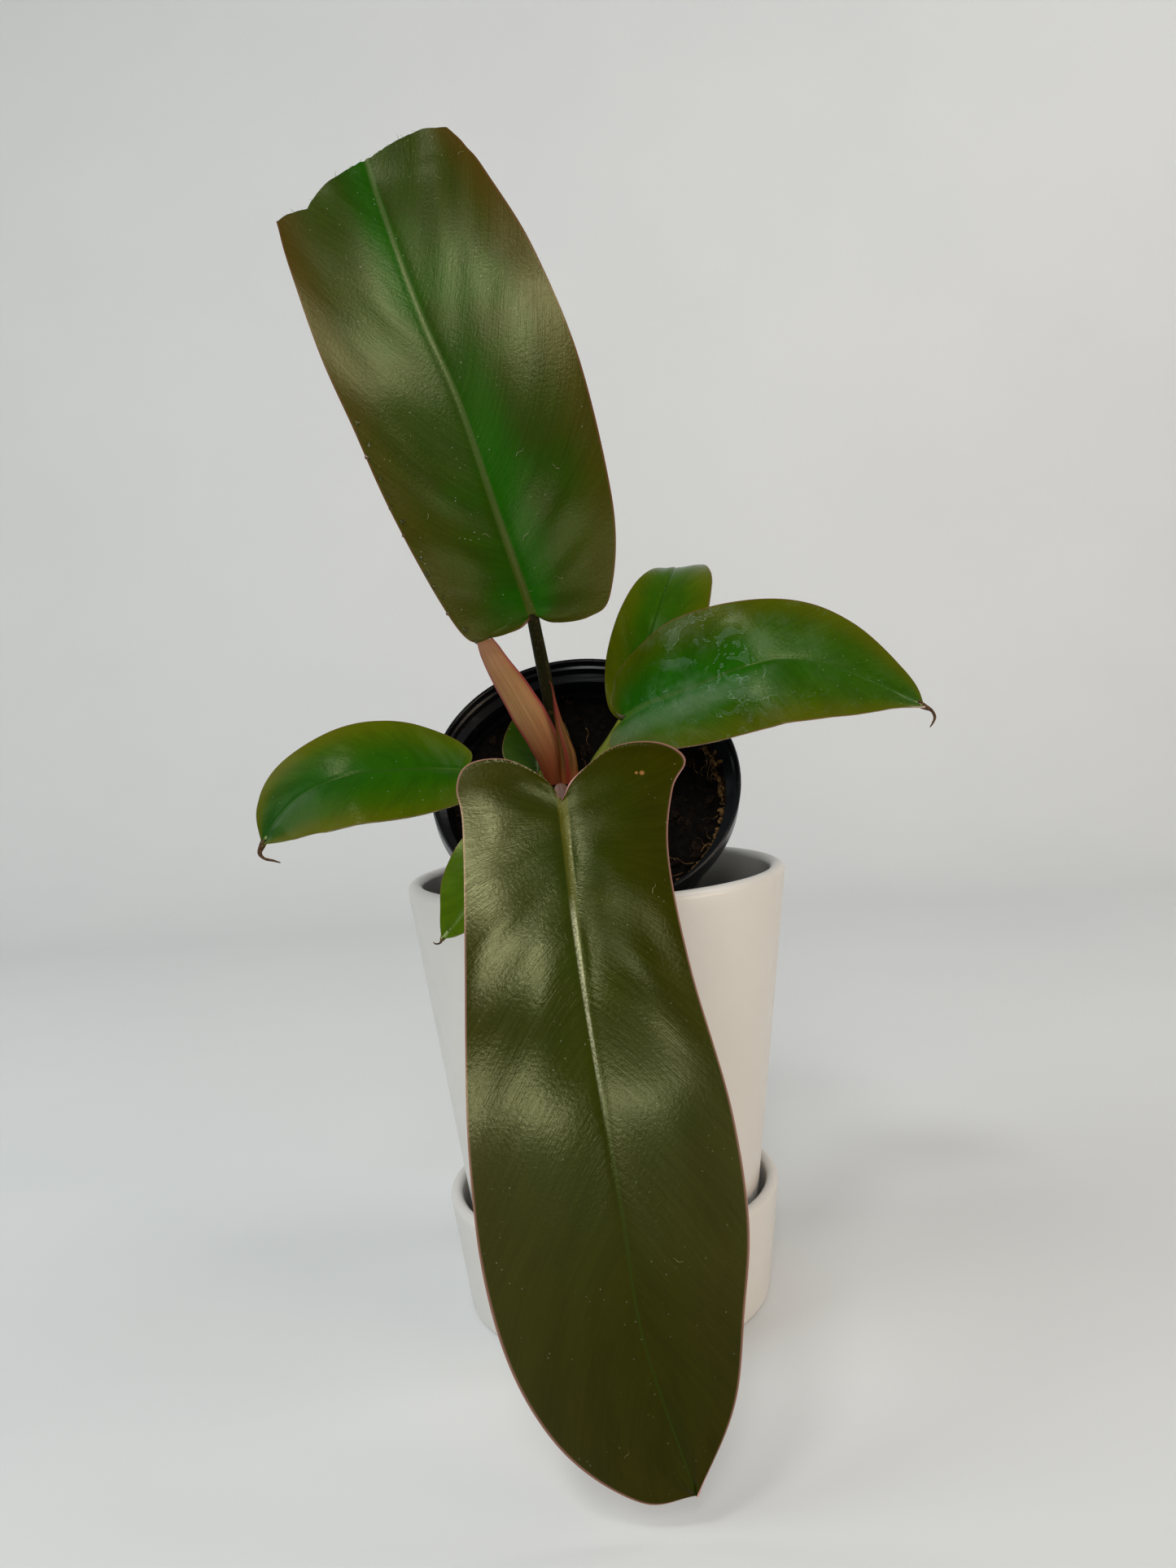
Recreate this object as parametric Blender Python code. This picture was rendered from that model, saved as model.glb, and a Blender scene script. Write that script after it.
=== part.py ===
"""A red-stemmed philodendron in a tilted nursery pot, set in a white ceramic pot with a saucer.

The origin is the middle of the saucer's flat base, +Z is up and -Y is the side that the plant leans to.
The nursery pot lies wedged in the mouth of the ceramic pot: its rim sits against the front inner wall
and its base leans on the back of the ceramic rim. The plant's own points are measured from its crown.
"""

import math

import bmesh
import bpy
import numpy as np
from mathutils import Matrix, Vector

MM = 0.001
GAP = 0.3 * MM
MERGE_DISTANCE = 0.001 * MM

# Ceramic pot
POT_HEIGHT = 155 * MM
POT_TOP_RADIUS = 70 * MM
POT_BASE_RADIUS = 50 * MM
POT_WALL = 5.5 * MM
POT_FLOOR = 7 * MM
POT_FOOT_ROUND = 3 * MM
POT_DRAIN_RADIUS = 7 * MM

# Saucer
SAUCER_HEIGHT = 43.5 * MM
SAUCER_FLOOR = 4.7 * MM
SAUCER_WALL = 4.5 * MM
SAUCER_POT_CLEARANCE = 2.2 * MM
SAUCER_FLARE = 5 * MM
SAUCER_FOOT_ROUND = 2 * MM

# Nursery pot
NURSERY_RIM_RADIUS = 54 * MM
NURSERY_BASE_RADIUS = 37 * MM
NURSERY_HEIGHT = 90 * MM
NURSERY_WALL = 1.4 * MM
NURSERY_RIM_BAND = 8 * MM
NURSERY_RIM_STEP = 1.8 * MM
NURSERY_TILT = 50
NURSERY_LEAN = 1
NURSERY_SIDE_SHIFT = -1.7 * MM
DRAIN_HOLES = 6
DRAIN_HOLE_RADIUS = 4.5 * MM
DRAIN_RING_SHARE = 0.62

# Potting mix and stem
SOIL_DEPTH_BELOW_RIM = 16 * MM
SOIL_UNEVENNESS = 1.2 * MM
SOIL_WAVE_LENGTHS = (20 * MM, 23 * MM)
SOIL_RING_SHARES = (0.85, 0.65, 0.45, 0.25)
STEM_RADIUS = 5 * MM
STEM_BURIED = 16 * MM
STEM_CLEARANCE = 0.4 * MM
STEM_TOP_BELOW_CROWN = 1.5 * MM
STEM_TAPER = 0.8
STEM_BEND_SHARE = 0.8
CROWN_OUT = 6 * MM
CROWN_RISE = 9 * MM
CROWN_OVER_POT = 33 * MM
CROWN_OFFSET = (-7.7 * MM, -8.7 * MM)

# Plant
PLANT_SCALE = 1.0
LEAF_THICKNESS = 0.9 * MM
LEAF_ROWS = 18
MIDRIB_STEPS = 60
LEAF_COLUMNS = 5
VEIN_CROWDING = 1.15
STALK_SIDES = 8
STALK_BASE_RADIUS = 2.3 * MM
STALK_TIP_RADIUS = 1.5 * MM
FRONT_TIP_HEIGHT = 12.4 * MM

TURNED_SEGMENTS = 64
RIM_SEGMENTS = 6
FOOT_SEGMENTS = 3
HOLE_SEGMENTS = 12
STEM_SIDES = 12
CURVE_STEPS = 24
SEARCH_STEPS = 24

# Each leaf's midrib runs from its sinus to its tip, in millimetres from the crown. The faces are the
# directions that its upper side looks in. The outlines go round each half of the blade, as
# (distance out from the midrib, distance along it), with the lobes behind the sinus negative.
LEAVES = {
    "upright": dict(
        midrib=[(-6.5, -16, 59), (-15.5, -18, 91), (-26, -18, 129), (-37, -16, 159), (-48.5, -10, 197),
                (-52, -7, 210)],
        faces=[(0, -1, 0), (0, -1, 0.1), (0.05, -1, 0.15)],
        fold=(8, 4),
        curl=(-2, -2),
        left=[(6, -3), (15, -3), (24, 1), (31, 34), (35, 70), (35, 130)],
        right=[(6, -5), (18, -7), (27, -2), (37, 25), (42, 77), (42, 115), (35, 150)],
        torn=[(-34, 148), (-22, 150), (0, 161), (18, 166), (29, 164)],
        stalk=[(0.3, 3.2, 0.2), (-1.5, 1.5, 19), (-4, -5, 39), (-6, -13, 55), (-6.5, -14.6, 58.2)],
        stalk_radii=(2.4, 2.0),
        colour=(0.09, 0.16, 0.03),
    ),
    "front": dict(
        midrib=[(1, -74, 1), (3.5, -96, -36), (7, -108, -70), (11, -114, -105), (14.5, -116, -137),
                (26, -114, -181)],
        faces=[(0, -0.8, 0.5), (0, -1, 0.35), (-0.05, -1, 0.3), (-0.15, -1, 0.3)],
        fold=(6, 3),
        curl=(-3, -3),
        tip_height=FRONT_TIP_HEIGHT,
        left=[(5, -7), (17, -15), (30, -15), (37, -9), (32, 0), (28, 20), (29, 55), (33, 95), (31, 130),
              (20, 167)],
        right=[(5, -8), (15, -15), (26, -15), (30, -8), (29, 5), (31, 45), (37, 95), (38, 130), (30, 168),
               (15, 190)],
        stalk=[(0, -8.2, -5), (0, -20, 4), (0, -45, 8), (0.5, -64, 4), (1, -72, -1.5)],
        colour=(0.07, 0.10, 0.02),
    ),
    "left": dict(
        midrib=[(-31.5, -28, 9), (-42.5, -34, 10.5), (-54.5, -38, 11), (-67.5, -41, 10), (-80.5, -42, 5.5),
                (-89.5, -42, -2), (-95, -41, -10)],
        faces=[(0.1, -0.75, 0.66), (0, -0.8, 0.6), (-0.1, -0.85, 0.55), (-0.2, -0.9, 0.45)],
        fold=(10, 6),
        curl=(-6, -6),
        left=[(4, -4), (10, -3), (15, 6), (19, 20), (19, 36), (16, 53), (9, 66)],
        right=[(3, -3), (8, -4), (14, 3), (18, 18), (19, 32), (16, 48), (10, 63)],
        stalk=[(-8, -0.8, -2.5), (-14, -9, 4), (-23, -19, 7), (-30.4, -26, 7.4)],
        colour=(0.08, 0.20, 0.04),
    ),
    "right": dict(
        midrib=[(23.5, 4, 23), (31.5, 2, 27), (47.5, -2, 32), (64.5, -6, 38.5), (77.5, -8, 40.5),
                (94.5, -10, 35.5), (112.5, -12, 26.5), (123.5, -13, 20.5)],
        faces=[(0, -0.85, 0.5), (0, -0.88, 0.48), (0, -0.9, 0.45), (0.1, -0.9, 0.4)],
        fold=(10, 6),
        curl=(-5, -5),
        left=[(4, -3), (10, -1), (19, 8), (26, 20), (27, 32), (24, 52), (21, 68), (14, 86), (6, 102)],
        right=[(3, -7), (9, -9), (17, -2), (20, 12), (23, 32), (26, 48), (24, 68), (17, 85), (7, 99)],
        stalk=[(8.8, -0.5, -3), (12.5, 3, 6), (18, 5.5, 14), (21.4, 6, 19.7)],
        stalk_radii=(3.0, 1.8),
        colour=(0.07, 0.19, 0.05),
    ),
    "back": dict(
        midrib=[(25.4, 14, 23.3), (29, 15, 34.3), (33.4, 18, 46), (39, 23, 59), (45, 31, 71), (51, 42, 78),
                (56.6, 54, 77), (61, 63, 70)],
        faces=[(-0.3, -0.95, 0.2), (-0.3, -0.9, 0.3), (-0.3, -0.7, 0.6), (0, -0.2, 1), (0.3, 0.3, 1)],
        fold=(10, 6),
        curl=(-5, -5),
        left=[(5, -2), (10, 4), (14, 18), (16, 38), (17, 55), (14, 75), (6, 88)],
        right=[(5, -5), (12, -2), (16, 16), (15, 38), (14, 57), (12, 75), (6, 88)],
        stalk=[(5.2, 6.2, 1), (12, 11, 6), (19, 14.5, 14), (24.4, 15.4, 21)],
        colour=(0.08, 0.15, 0.03),
    ),
    "small": dict(
        midrib=[(-14, -56, -9), (-23, -62, -20), (-31, -65, -31), (-37.5, -64, -39)],
        faces=[(-0.2, -0.8, 0.5), (-0.3, -0.9, 0.35), (-0.3, -1, 0.2)],
        fold=(8, 6),
        curl=(-5, -5),
        left=[(4, -3), (9, 0), (11, 10), (9, 24), (4, 34)],
        right=[(4, -3), (10, 0), (13, 10), (11, 24), (5, 34)],
        stalk=[(-5.6, -6.4, -5), (-7.5, -22, 2), (-10, -42, 0), (-13.2, -53.4, -8.4)],
        colour=(0.10, 0.24, 0.04),
    ),
    "inner": dict(
        midrib=[(-8, 9, 6), (-8.5, 15, 14), (-9, 20, 23), (-9, 23, 31)],
        faces=[(0, -0.8, 0.5), (0, -0.9, 0.4)],
        fold=(14, 8),
        curl=(4, 4),
        left=[(5, -3), (12, 2), (13, 10), (9, 20)],
        right=[(5, -3), (11, 2), (12, 10), (9, 20)],
        stalk=[(-5.2, 5.2, -1), (-6.8, 7.6, 2), (-7.7, 9.5, 4.3)],
        stalk_radii=(1.6, 1.3),
        colour=(0.07, 0.20, 0.04),
    ),
}

# The sheath and the shoot stand on the crown, as (route, half widths, half depths), from base to tip.
SHOOTS = {
    "pink_sheath": dict(
        route=[(-2.2, -1.2, 1.5), (-5, -3.5, 14), (-13, -6, 31), (-20.5, -8, 45), (-27, -9, 60)],
        widths=(2.9, 3.6, 4.1, 3.4, 0.5),
        depths=(1.7, 1.9, 1.7, 1.3, 0.4),
        colour=(0.60, 0.25, 0.18),
    ),
    "red_shoot": dict(
        route=[(2.6, -3.5, 1.5), (2.4, -5.2, 11), (0.5, -6, 20), (-0.8, -6, 28), (-1.6, -6, 36)],
        widths=(2.6, 3.0, 2.4, 1.5, 0.4),
        depths=(1.5, 1.6, 1.3, 0.9, 0.4),
        colour=(0.35, 0.03, 0.04),
    ),
}


def clear_scene():
    for obj in list(bpy.data.objects):
        bpy.data.objects.remove(obj)


def material(name, colour, roughness, metallic=0.0):
    made = bpy.data.materials.new(name)
    made.use_nodes = True
    shader = made.node_tree.nodes["Principled BSDF"]
    shader.inputs["Base Color"].default_value = (*colour, 1.0)
    shader.inputs["Roughness"].default_value = roughness
    shader.inputs["Metallic"].default_value = metallic
    return made


def add_object(name, bm, finish):
    """Keeps the bmesh as a smooth-shaded object with the given material."""
    mesh = bpy.data.meshes.new(name)
    bm.to_mesh(mesh)
    bm.free()
    mesh.materials.append(finish)
    mesh.shade_smooth()
    mesh.set_sharp_from_angle(angle=math.radians(40))
    obj = bpy.data.objects.new(name, mesh)
    bpy.context.scene.collection.objects.link(obj)
    return obj


def arc(centre, radius, start, end, steps):
    """Points on a circle in the (radius, height) plane, angles in degrees from the +radius direction."""
    angles = np.radians(np.linspace(start, end, steps + 1))
    return [(centre[0] + radius * math.cos(a), centre[1] + radius * math.sin(a)) for a in angles]


def turned(name, outline, finish, segments=TURNED_SEGMENTS, closed=False):
    """Spins an outline of (radius, height) points round Z. An open outline starts and ends on it."""
    bm = bmesh.new()
    ring = [bm.verts.new((r, 0, z)) for r, z in outline]
    edges = [bm.edges.new(pair) for pair in zip(ring, ring[1:])]
    if closed:
        edges.append(bm.edges.new((ring[-1], ring[0])))
    bmesh.ops.spin(
        bm,
        geom=ring + edges,
        cent=(0, 0, 0),
        axis=(0, 0, 1),
        angle=2 * math.pi,
        steps=segments,
        use_merge=True,
    )
    bmesh.ops.remove_doubles(bm, verts=bm.verts, dist=MERGE_DISTANCE)
    bmesh.ops.recalc_face_normals(bm, faces=bm.faces)
    return add_object(name, bm, finish)


# --------------------------------------- ceramic pot and saucer

POT_BOTTOM = SAUCER_FLOOR + GAP
POT_TOP = POT_BOTTOM + POT_HEIGHT
POT_RIM_ROUND = POT_WALL / 2


def pot_outer_radius(height):
    share = (height - POT_BOTTOM) / POT_HEIGHT
    return POT_BASE_RADIUS + (POT_TOP_RADIUS - POT_BASE_RADIUS) * share


def pot_inner_radius(height):
    return pot_outer_radius(height) - POT_WALL


def build_ceramic_pot():
    rim_z = POT_TOP - POT_RIM_ROUND
    rim_centre = (pot_outer_radius(rim_z) - POT_RIM_ROUND, rim_z)
    foot_centre = (pot_outer_radius(POT_BOTTOM) - POT_FOOT_ROUND, POT_BOTTOM + POT_FOOT_ROUND)
    floor_z = POT_BOTTOM + POT_FLOOR
    outline = [(POT_DRAIN_RADIUS, POT_BOTTOM)]
    outline += arc(foot_centre, POT_FOOT_ROUND, -90, 0, FOOT_SEGMENTS)
    outline += arc(rim_centre, POT_RIM_ROUND, 0, 180, RIM_SEGMENTS)
    outline += [(pot_inner_radius(floor_z), floor_z), (POT_DRAIN_RADIUS, floor_z)]
    glaze = material("white_glaze", (0.78, 0.76, 0.73), 0.35)
    turned("ceramic_pot", outline, glaze, closed=True)


def build_saucer():
    rim_round = SAUCER_WALL / 2
    inner_base = POT_BASE_RADIUS + SAUCER_POT_CLEARANCE
    outer_base = inner_base + SAUCER_WALL
    rim_z = SAUCER_HEIGHT - rim_round
    past_pot = pot_outer_radius(SAUCER_HEIGHT) + SAUCER_POT_CLEARANCE / 2
    rim_inner = max(past_pot, inner_base + SAUCER_FLARE)
    rim_centre = (rim_inner + rim_round, rim_z)
    foot_centre = (outer_base - SAUCER_FOOT_ROUND, SAUCER_FOOT_ROUND)
    outline = [(0, 0)]
    outline += arc(foot_centre, SAUCER_FOOT_ROUND, -90, 0, FOOT_SEGMENTS)
    outline += arc(rim_centre, rim_round, 0, 180, RIM_SEGMENTS)
    outline += [(inner_base, SAUCER_FLOOR), (0, SAUCER_FLOOR)]
    turned("saucer", outline, material("saucer_glaze", (0.80, 0.77, 0.74), 0.35))


# --------------------------------------- nursery pot, measured from its rim's middle

def nursery_body_radius(depth):
    """The body's outer radius at a depth below the rim."""
    top = NURSERY_RIM_RADIUS - NURSERY_RIM_STEP
    return top + (NURSERY_BASE_RADIUS - top) * (depth / NURSERY_HEIGHT)


def nursery_turn():
    """The nursery pot's rotation: tipped forwards, then leant sideways a little."""
    lean = Matrix.Rotation(math.radians(NURSERY_LEAN), 4, "Y")
    return lean @ Matrix.Rotation(math.radians(NURSERY_TILT), 4, "X")


def nursery_samples():
    """Points all over the outside of the nursery pot, turned as it lies."""
    band_depths = np.linspace(0, NURSERY_RIM_BAND, 5)
    body_depths = np.linspace(NURSERY_RIM_BAND, NURSERY_HEIGHT, 20)
    base_shares = np.linspace(0.3, 0.95, 14)
    rings = [(NURSERY_RIM_RADIUS, depth) for depth in band_depths]
    rings += [(nursery_body_radius(depth), depth) for depth in body_depths]
    rings += [(NURSERY_BASE_RADIUS * share, NURSERY_HEIGHT) for share in base_shares]
    turns = np.radians(np.arange(0, 360, 2))
    points = [(r * math.cos(a), r * math.sin(a), -depth) for r, depth in rings for a in turns]
    return np.array(points) @ np.array(nursery_turn().to_3x3()).T


def gaps_to_ceramic(points):
    """How far each point is from the ceramic pot: from its inner wall, or from its rounded rim above that."""
    radius = np.hypot(points[:, 0], points[:, 1])
    rim_z = POT_TOP - POT_RIM_ROUND
    rim_centre = pot_outer_radius(rim_z) - POT_RIM_ROUND
    to_wall = pot_inner_radius(points[:, 2]) - radius
    to_rim = np.hypot(radius - rim_centre, points[:, 2] - rim_z) - POT_RIM_ROUND
    return np.where(points[:, 2] < rim_z, to_wall, to_rim)


def last_clear(clear, start, stop):
    """The value nearest to stop, coming from start, at which clear(value) still holds."""
    for _ in range(SEARCH_STEPS):
        middle = (start + stop) / 2
        if clear(middle):
            start = middle
        else:
            stop = middle
    return start


def place_nursery_pot():
    """Where the tilted pot lies: its base on the back of the ceramic rim, its own rim on the front wall."""
    samples = nursery_samples()
    back = samples[samples[:, 1] > 0]
    front = samples[samples[:, 1] < 0]

    def is_clear(points, y, z):
        return gaps_to_ceramic(points + (NURSERY_SIDE_SHIFT, y, z)).min() >= GAP

    def resting_height(y):
        return last_clear(lambda z: is_clear(back, y, z), POT_TOP + 2 * NURSERY_HEIGHT, POT_TOP)

    y = last_clear(lambda y: is_clear(front, y, resting_height(y)), 0, -POT_TOP_RADIUS)
    return Matrix.Translation((NURSERY_SIDE_SHIFT, y, resting_height(y))) @ nursery_turn()


NURSERY_PLACE = place_nursery_pot()


def nursery_wall_line(depth):
    """The radius of the nursery pot's inner wall at a depth below the rim."""
    return nursery_body_radius(depth) - NURSERY_WALL


def drain_cutter():
    """One hidden mesh of round rods, one for each drain hole."""
    bm = bmesh.new()
    for hole in range(DRAIN_HOLES):
        angle = 2 * math.pi * hole / DRAIN_HOLES
        ring = NURSERY_BASE_RADIUS * DRAIN_RING_SHARE
        place = Matrix.Translation((ring * math.cos(angle), ring * math.sin(angle), -NURSERY_HEIGHT))
        bmesh.ops.create_cone(
            bm,
            cap_ends=True,
            segments=HOLE_SEGMENTS,
            radius1=DRAIN_HOLE_RADIUS,
            radius2=DRAIN_HOLE_RADIUS,
            depth=6 * NURSERY_WALL,
            matrix=place,
        )
    cutter = add_object("drain_cutter", bm, material("cutter", (1, 0, 0), 0.5))
    cutter.matrix_world = NURSERY_PLACE
    cutter.hide_render = True
    cutter.display_type = "WIRE"
    return cutter


def build_nursery_pot():
    band_inner = NURSERY_RIM_RADIUS - NURSERY_WALL
    floor = NURSERY_HEIGHT - NURSERY_WALL
    outline = [
        (0, -NURSERY_HEIGHT),
        (NURSERY_BASE_RADIUS, -NURSERY_HEIGHT),
        (nursery_body_radius(NURSERY_RIM_BAND), -NURSERY_RIM_BAND),
        (NURSERY_RIM_RADIUS, -NURSERY_RIM_BAND),
        (NURSERY_RIM_RADIUS, 0),
        (band_inner, 0),
        (band_inner, -NURSERY_RIM_BAND + NURSERY_WALL),
        (nursery_wall_line(NURSERY_RIM_BAND - NURSERY_WALL), -NURSERY_RIM_BAND + NURSERY_WALL),
        (nursery_wall_line(floor), -floor),
        (0, -floor),
    ]
    pot = turned("nursery_pot", outline, material("black_plastic", (0.012, 0.013, 0.015), 0.25))
    pot.matrix_world = NURSERY_PLACE
    cut = pot.modifiers.new("drain holes", "BOOLEAN")
    cut.object = drain_cutter()
    cut.operation = "DIFFERENCE"


# --------------------------------------- potting mix and stem

POT_AXIS = (NURSERY_PLACE.to_3x3() @ Vector((0, 0, 1))).normalized()
CROWN_FOOT = NURSERY_PLACE @ Vector((*CROWN_OFFSET, -SOIL_DEPTH_BELOW_RIM))
CROWN_BEND = CROWN_FOOT + POT_AXIS * CROWN_OUT

# The stem grows upwards until its leaves can lean out over the ceramic rim.
STEM_RISE = max(CROWN_RISE, POT_TOP + CROWN_OVER_POT - CROWN_BEND.z)
CROWN = CROWN_BEND + Vector((0, 0, STEM_RISE))


def from_crown(point):
    """A point given in millimetres from the crown, in metres from the origin."""
    return CROWN + Vector(point) * (MM * PLANT_SCALE)


def smooth_line(points, count):
    """Count + 1 points, evenly spaced, on a smooth curve (Catmull-Rom) through the given ones."""
    given = np.array(points, float)
    given = np.vstack([2 * given[0] - given[1], given, 2 * given[-1] - given[-2]])
    parts = []
    for a, b, c, d in zip(given, given[1:], given[2:], given[3:]):
        t = np.linspace(0, 1, CURVE_STEPS, endpoint=False)[:, None]
        cubic = (3 * b - a - 3 * c + d) * t**3 + (2 * a - 5 * b + 4 * c - d) * t**2 + (c - a) * t
        parts.append(b + 0.5 * cubic)
    dense = np.vstack([*parts, given[-2]])
    lengths = np.concatenate([[0], np.cumsum(np.linalg.norm(np.diff(dense, axis=0), axis=1))])
    even = np.linspace(0, lengths[-1], count + 1)
    return np.stack([np.interp(even, lengths, axis) for axis in dense.T], axis=-1)


def spread(values, count):
    """The values, taken as evenly spaced, read at count + 1 places."""
    return np.interp(np.linspace(0, len(values) - 1, count + 1), range(len(values)), values)


def tube(name, route, widths, depths, finish, sides=STALK_SIDES, steps=12):
    """A closed tube with an oval section along a smooth route, its width lying across the plant."""
    points = smooth_line(route, steps)
    tangents = np.gradient(points, axis=0)
    half_widths = spread(widths, steps)
    half_depths = spread(depths, steps)
    side = Vector((1, 0, 0))
    bm = bmesh.new()
    rings = []
    for point, tangent, wide, deep in zip(points, tangents, half_widths, half_depths):
        along = Vector(tangent).normalized()
        side = (side - along * side.dot(along)).normalized()
        front = along.cross(side)
        ring = []
        for angle in np.linspace(0, 2 * math.pi, sides, endpoint=False):
            corner = Vector(point) + side * (wide * math.cos(angle)) + front * (deep * math.sin(angle))
            ring.append(bm.verts.new(corner))
        rings.append(ring)
    for lower, upper in zip(rings, rings[1:]):
        for k in range(sides):
            bm.faces.new((lower[k], lower[k - 1], upper[k - 1], upper[k]))
    bm.faces.new(rings[0])
    bm.faces.new(reversed(rings[-1]))
    bmesh.ops.recalc_face_normals(bm, faces=bm.faces)
    return add_object(name, bm, finish)


def stem_route():
    """Out of the mix along the pot's axis, then turning up to the crown."""
    buried = CROWN_FOOT - POT_AXIS * STEM_BURIED
    before_bend = CROWN_FOOT.lerp(CROWN_BEND, STEM_BEND_SHARE)
    bend = before_bend + Vector((0, 0, (1 - STEM_BEND_SHARE) * STEM_RISE))
    return [buried, CROWN_FOOT, bend, CROWN - Vector((0, 0, STEM_TOP_BELOW_CROWN))]


def build_stem():
    finish = material("stem_bark", (0.20, 0.12, 0.05), 0.7)
    radii = (STEM_RADIUS * STEM_TAPER, STEM_RADIUS, STEM_RADIUS)
    tube("stem", stem_route(), radii, radii, finish, sides=STEM_SIDES, steps=8)


def build_potting_mix():
    """A tapered plug that fills the nursery pot, with an uneven top and a socket for the stem."""
    floor = NURSERY_HEIGHT - NURSERY_WALL - GAP
    top = SOIL_DEPTH_BELOW_RIM
    top_radius = nursery_wall_line(top) - GAP
    outline = [(0, -floor), (nursery_wall_line(floor) - GAP, -floor), (top_radius, -top)]
    outline += [(top_radius * share, -top) for share in SOIL_RING_SHARES]
    outline += [(0, -top)]
    soil = turned("potting_mix", outline, material("potting_mix", (0.03, 0.022, 0.018), 0.95))
    for vertex in soil.data.vertices:
        x, y, z = vertex.co
        if abs(z + top) < MERGE_DISTANCE:
            from_edge = 1 - min(1, math.hypot(x, y) / top_radius)
            across, back = (2 * math.pi / length for length in SOIL_WAVE_LENGTHS)
            bumps = math.sin(x * across + 1.2) * math.cos(y * back + 0.4)
            vertex.co.z += SOIL_UNEVENNESS * bumps * min(1, 4 * from_edge)
    soil.matrix_world = NURSERY_PLACE
    radius = STEM_RADIUS + STEM_CLEARANCE
    route = [CROWN_FOOT - POT_AXIS * (STEM_BURIED + STEM_CLEARANCE), CROWN_FOOT + POT_AXIS * STEM_BURIED]
    cutter = tube("stem_cutter", route, (radius,), (radius,), material("cutter", (1, 0, 0), 0.5), 16, 1)
    cutter.hide_render = True
    cutter.display_type = "WIRE"
    cut = soil.modifiers.new("stem socket", "BOOLEAN")
    cut.object = cutter
    cut.operation = "DIFFERENCE"


# --------------------------------------- leaves

def leaf_frame(routes, along):
    """The midrib point, the upward normal and the sideways direction at a distance along the midrib."""
    points, normals, lengths = routes
    inside = min(max(along, 0.0), lengths[-1])
    point = np.array([np.interp(inside, lengths, axis) for axis in points.T])
    normal = np.array([np.interp(inside, lengths, axis) for axis in normals.T])
    tangents = np.gradient(points, lengths, axis=0)
    tangent = np.array([np.interp(inside, lengths, axis) for axis in tangents.T])
    tangent /= np.linalg.norm(tangent)
    normal -= tangent * normal.dot(tangent)
    normal /= np.linalg.norm(normal)
    return point + tangent * min(along, 0.0), normal, np.cross(tangent, normal)


def leaf_routes(leaf):
    """The midrib's points, the directions it faces in and the length so far."""
    midrib = [from_crown(point) for point in leaf["midrib"]]
    if "tip_height" in leaf:
        stretch = (CROWN.z - leaf["tip_height"]) / (CROWN.z - midrib[-1].z)
        for point in midrib:
            point.z = CROWN.z + (point.z - CROWN.z) * (stretch if point.z < CROWN.z else 1)
    points = smooth_line(midrib, MIDRIB_STEPS)
    steps = np.linalg.norm(np.diff(points, axis=0), axis=1)
    return points, smooth_line(leaf["faces"], MIDRIB_STEPS), np.concatenate([[0], np.cumsum(steps)])


def drawn_length(leaf):
    """The length of the midrib as it is listed, for which the outlines are given."""
    points = smooth_line(leaf["midrib"], MIDRIB_STEPS)
    return np.linalg.norm(np.diff(points, axis=0), axis=1).sum()


def blade_point(leaf, routes, out, along):
    """The place in the air of a point of the flat blade, which folds at the midrib and curls across."""
    point, normal, side = leaf_frame(routes, along)
    share = min(max(along / routes[2][-1], 0), 1)
    fold = math.radians(np.interp(share, (0, 1), leaf["fold"]))
    curl = math.radians(np.interp(share, (0, 1), leaf["curl"])) / (10 * MM)
    width = abs(out)
    across = (math.sin(fold + curl * width) - math.sin(fold)) / curl
    raised = (math.cos(fold) - math.cos(fold + curl * width)) / curl
    return point + side * (math.copysign(across, out)) + normal * raised


def half_blade(leaf, key, length):
    """A grid of flat blade points for one half, each row running from the midrib along a vein to the edge."""
    sign = -1 if key == "left" else 1
    wide = MM * PLANT_SCALE
    long = length / drawn_length(leaf)
    torn = [(out * wide, along * long) for out, along in leaf.get("torn", [])]
    outline = [(0, 0)] + [(out * wide, along * long) for out, along in leaf[key]]
    corner = torn[0 if sign < 0 else -1] if torn else (0, length)
    outline.append((abs(corner[0]), corner[1]))
    edge = smooth_line(outline, LEAF_ROWS)
    starts = length * (np.arange(LEAF_ROWS + 1) / LEAF_ROWS) ** VEIN_CROWDING
    across = np.arange(LEAF_COLUMNS + 1) / LEAF_COLUMNS
    rows = []
    for (out, along), start in zip(edge, starts):
        rows.append([(sign * out * t, start + (along - start) * t) for t in across])
    if torn:
        rows[-1] = [(out, np.interp(out, *zip(*torn))) for out, _ in rows[-1]]
    return rows


def build_leaf(name, leaf):
    """The blade as a surface of quads, joined along the midrib and given its thickness."""
    routes = leaf_routes(leaf)
    bm = bmesh.new()
    grids = []
    for key in ("left", "right"):
        rows = half_blade(leaf, key, routes[2][-1])
        grids.append([[bm.verts.new(blade_point(leaf, routes, *spot)) for spot in row] for row in rows])
    for grid, turn in zip(grids, (-1, 1)):
        for lower, upper in zip(grid, grid[1:]):
            for k in range(LEAF_COLUMNS):
                corners = (lower[k], lower[k + 1], upper[k + 1], upper[k])
                bm.faces.new(corners[::turn])
    bmesh.ops.remove_doubles(bm, verts=bm.verts, dist=MERGE_DISTANCE)
    bmesh.ops.dissolve_degenerate(bm, edges=bm.edges, dist=MERGE_DISTANCE)
    bmesh.ops.recalc_face_normals(bm, faces=bm.faces)
    obj = add_object(name, bm, material(name, leaf["colour"], 0.35))
    solid = obj.modifiers.new("blade thickness", "SOLIDIFY")
    solid.thickness = LEAF_THICKNESS
    solid.offset = 0


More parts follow.
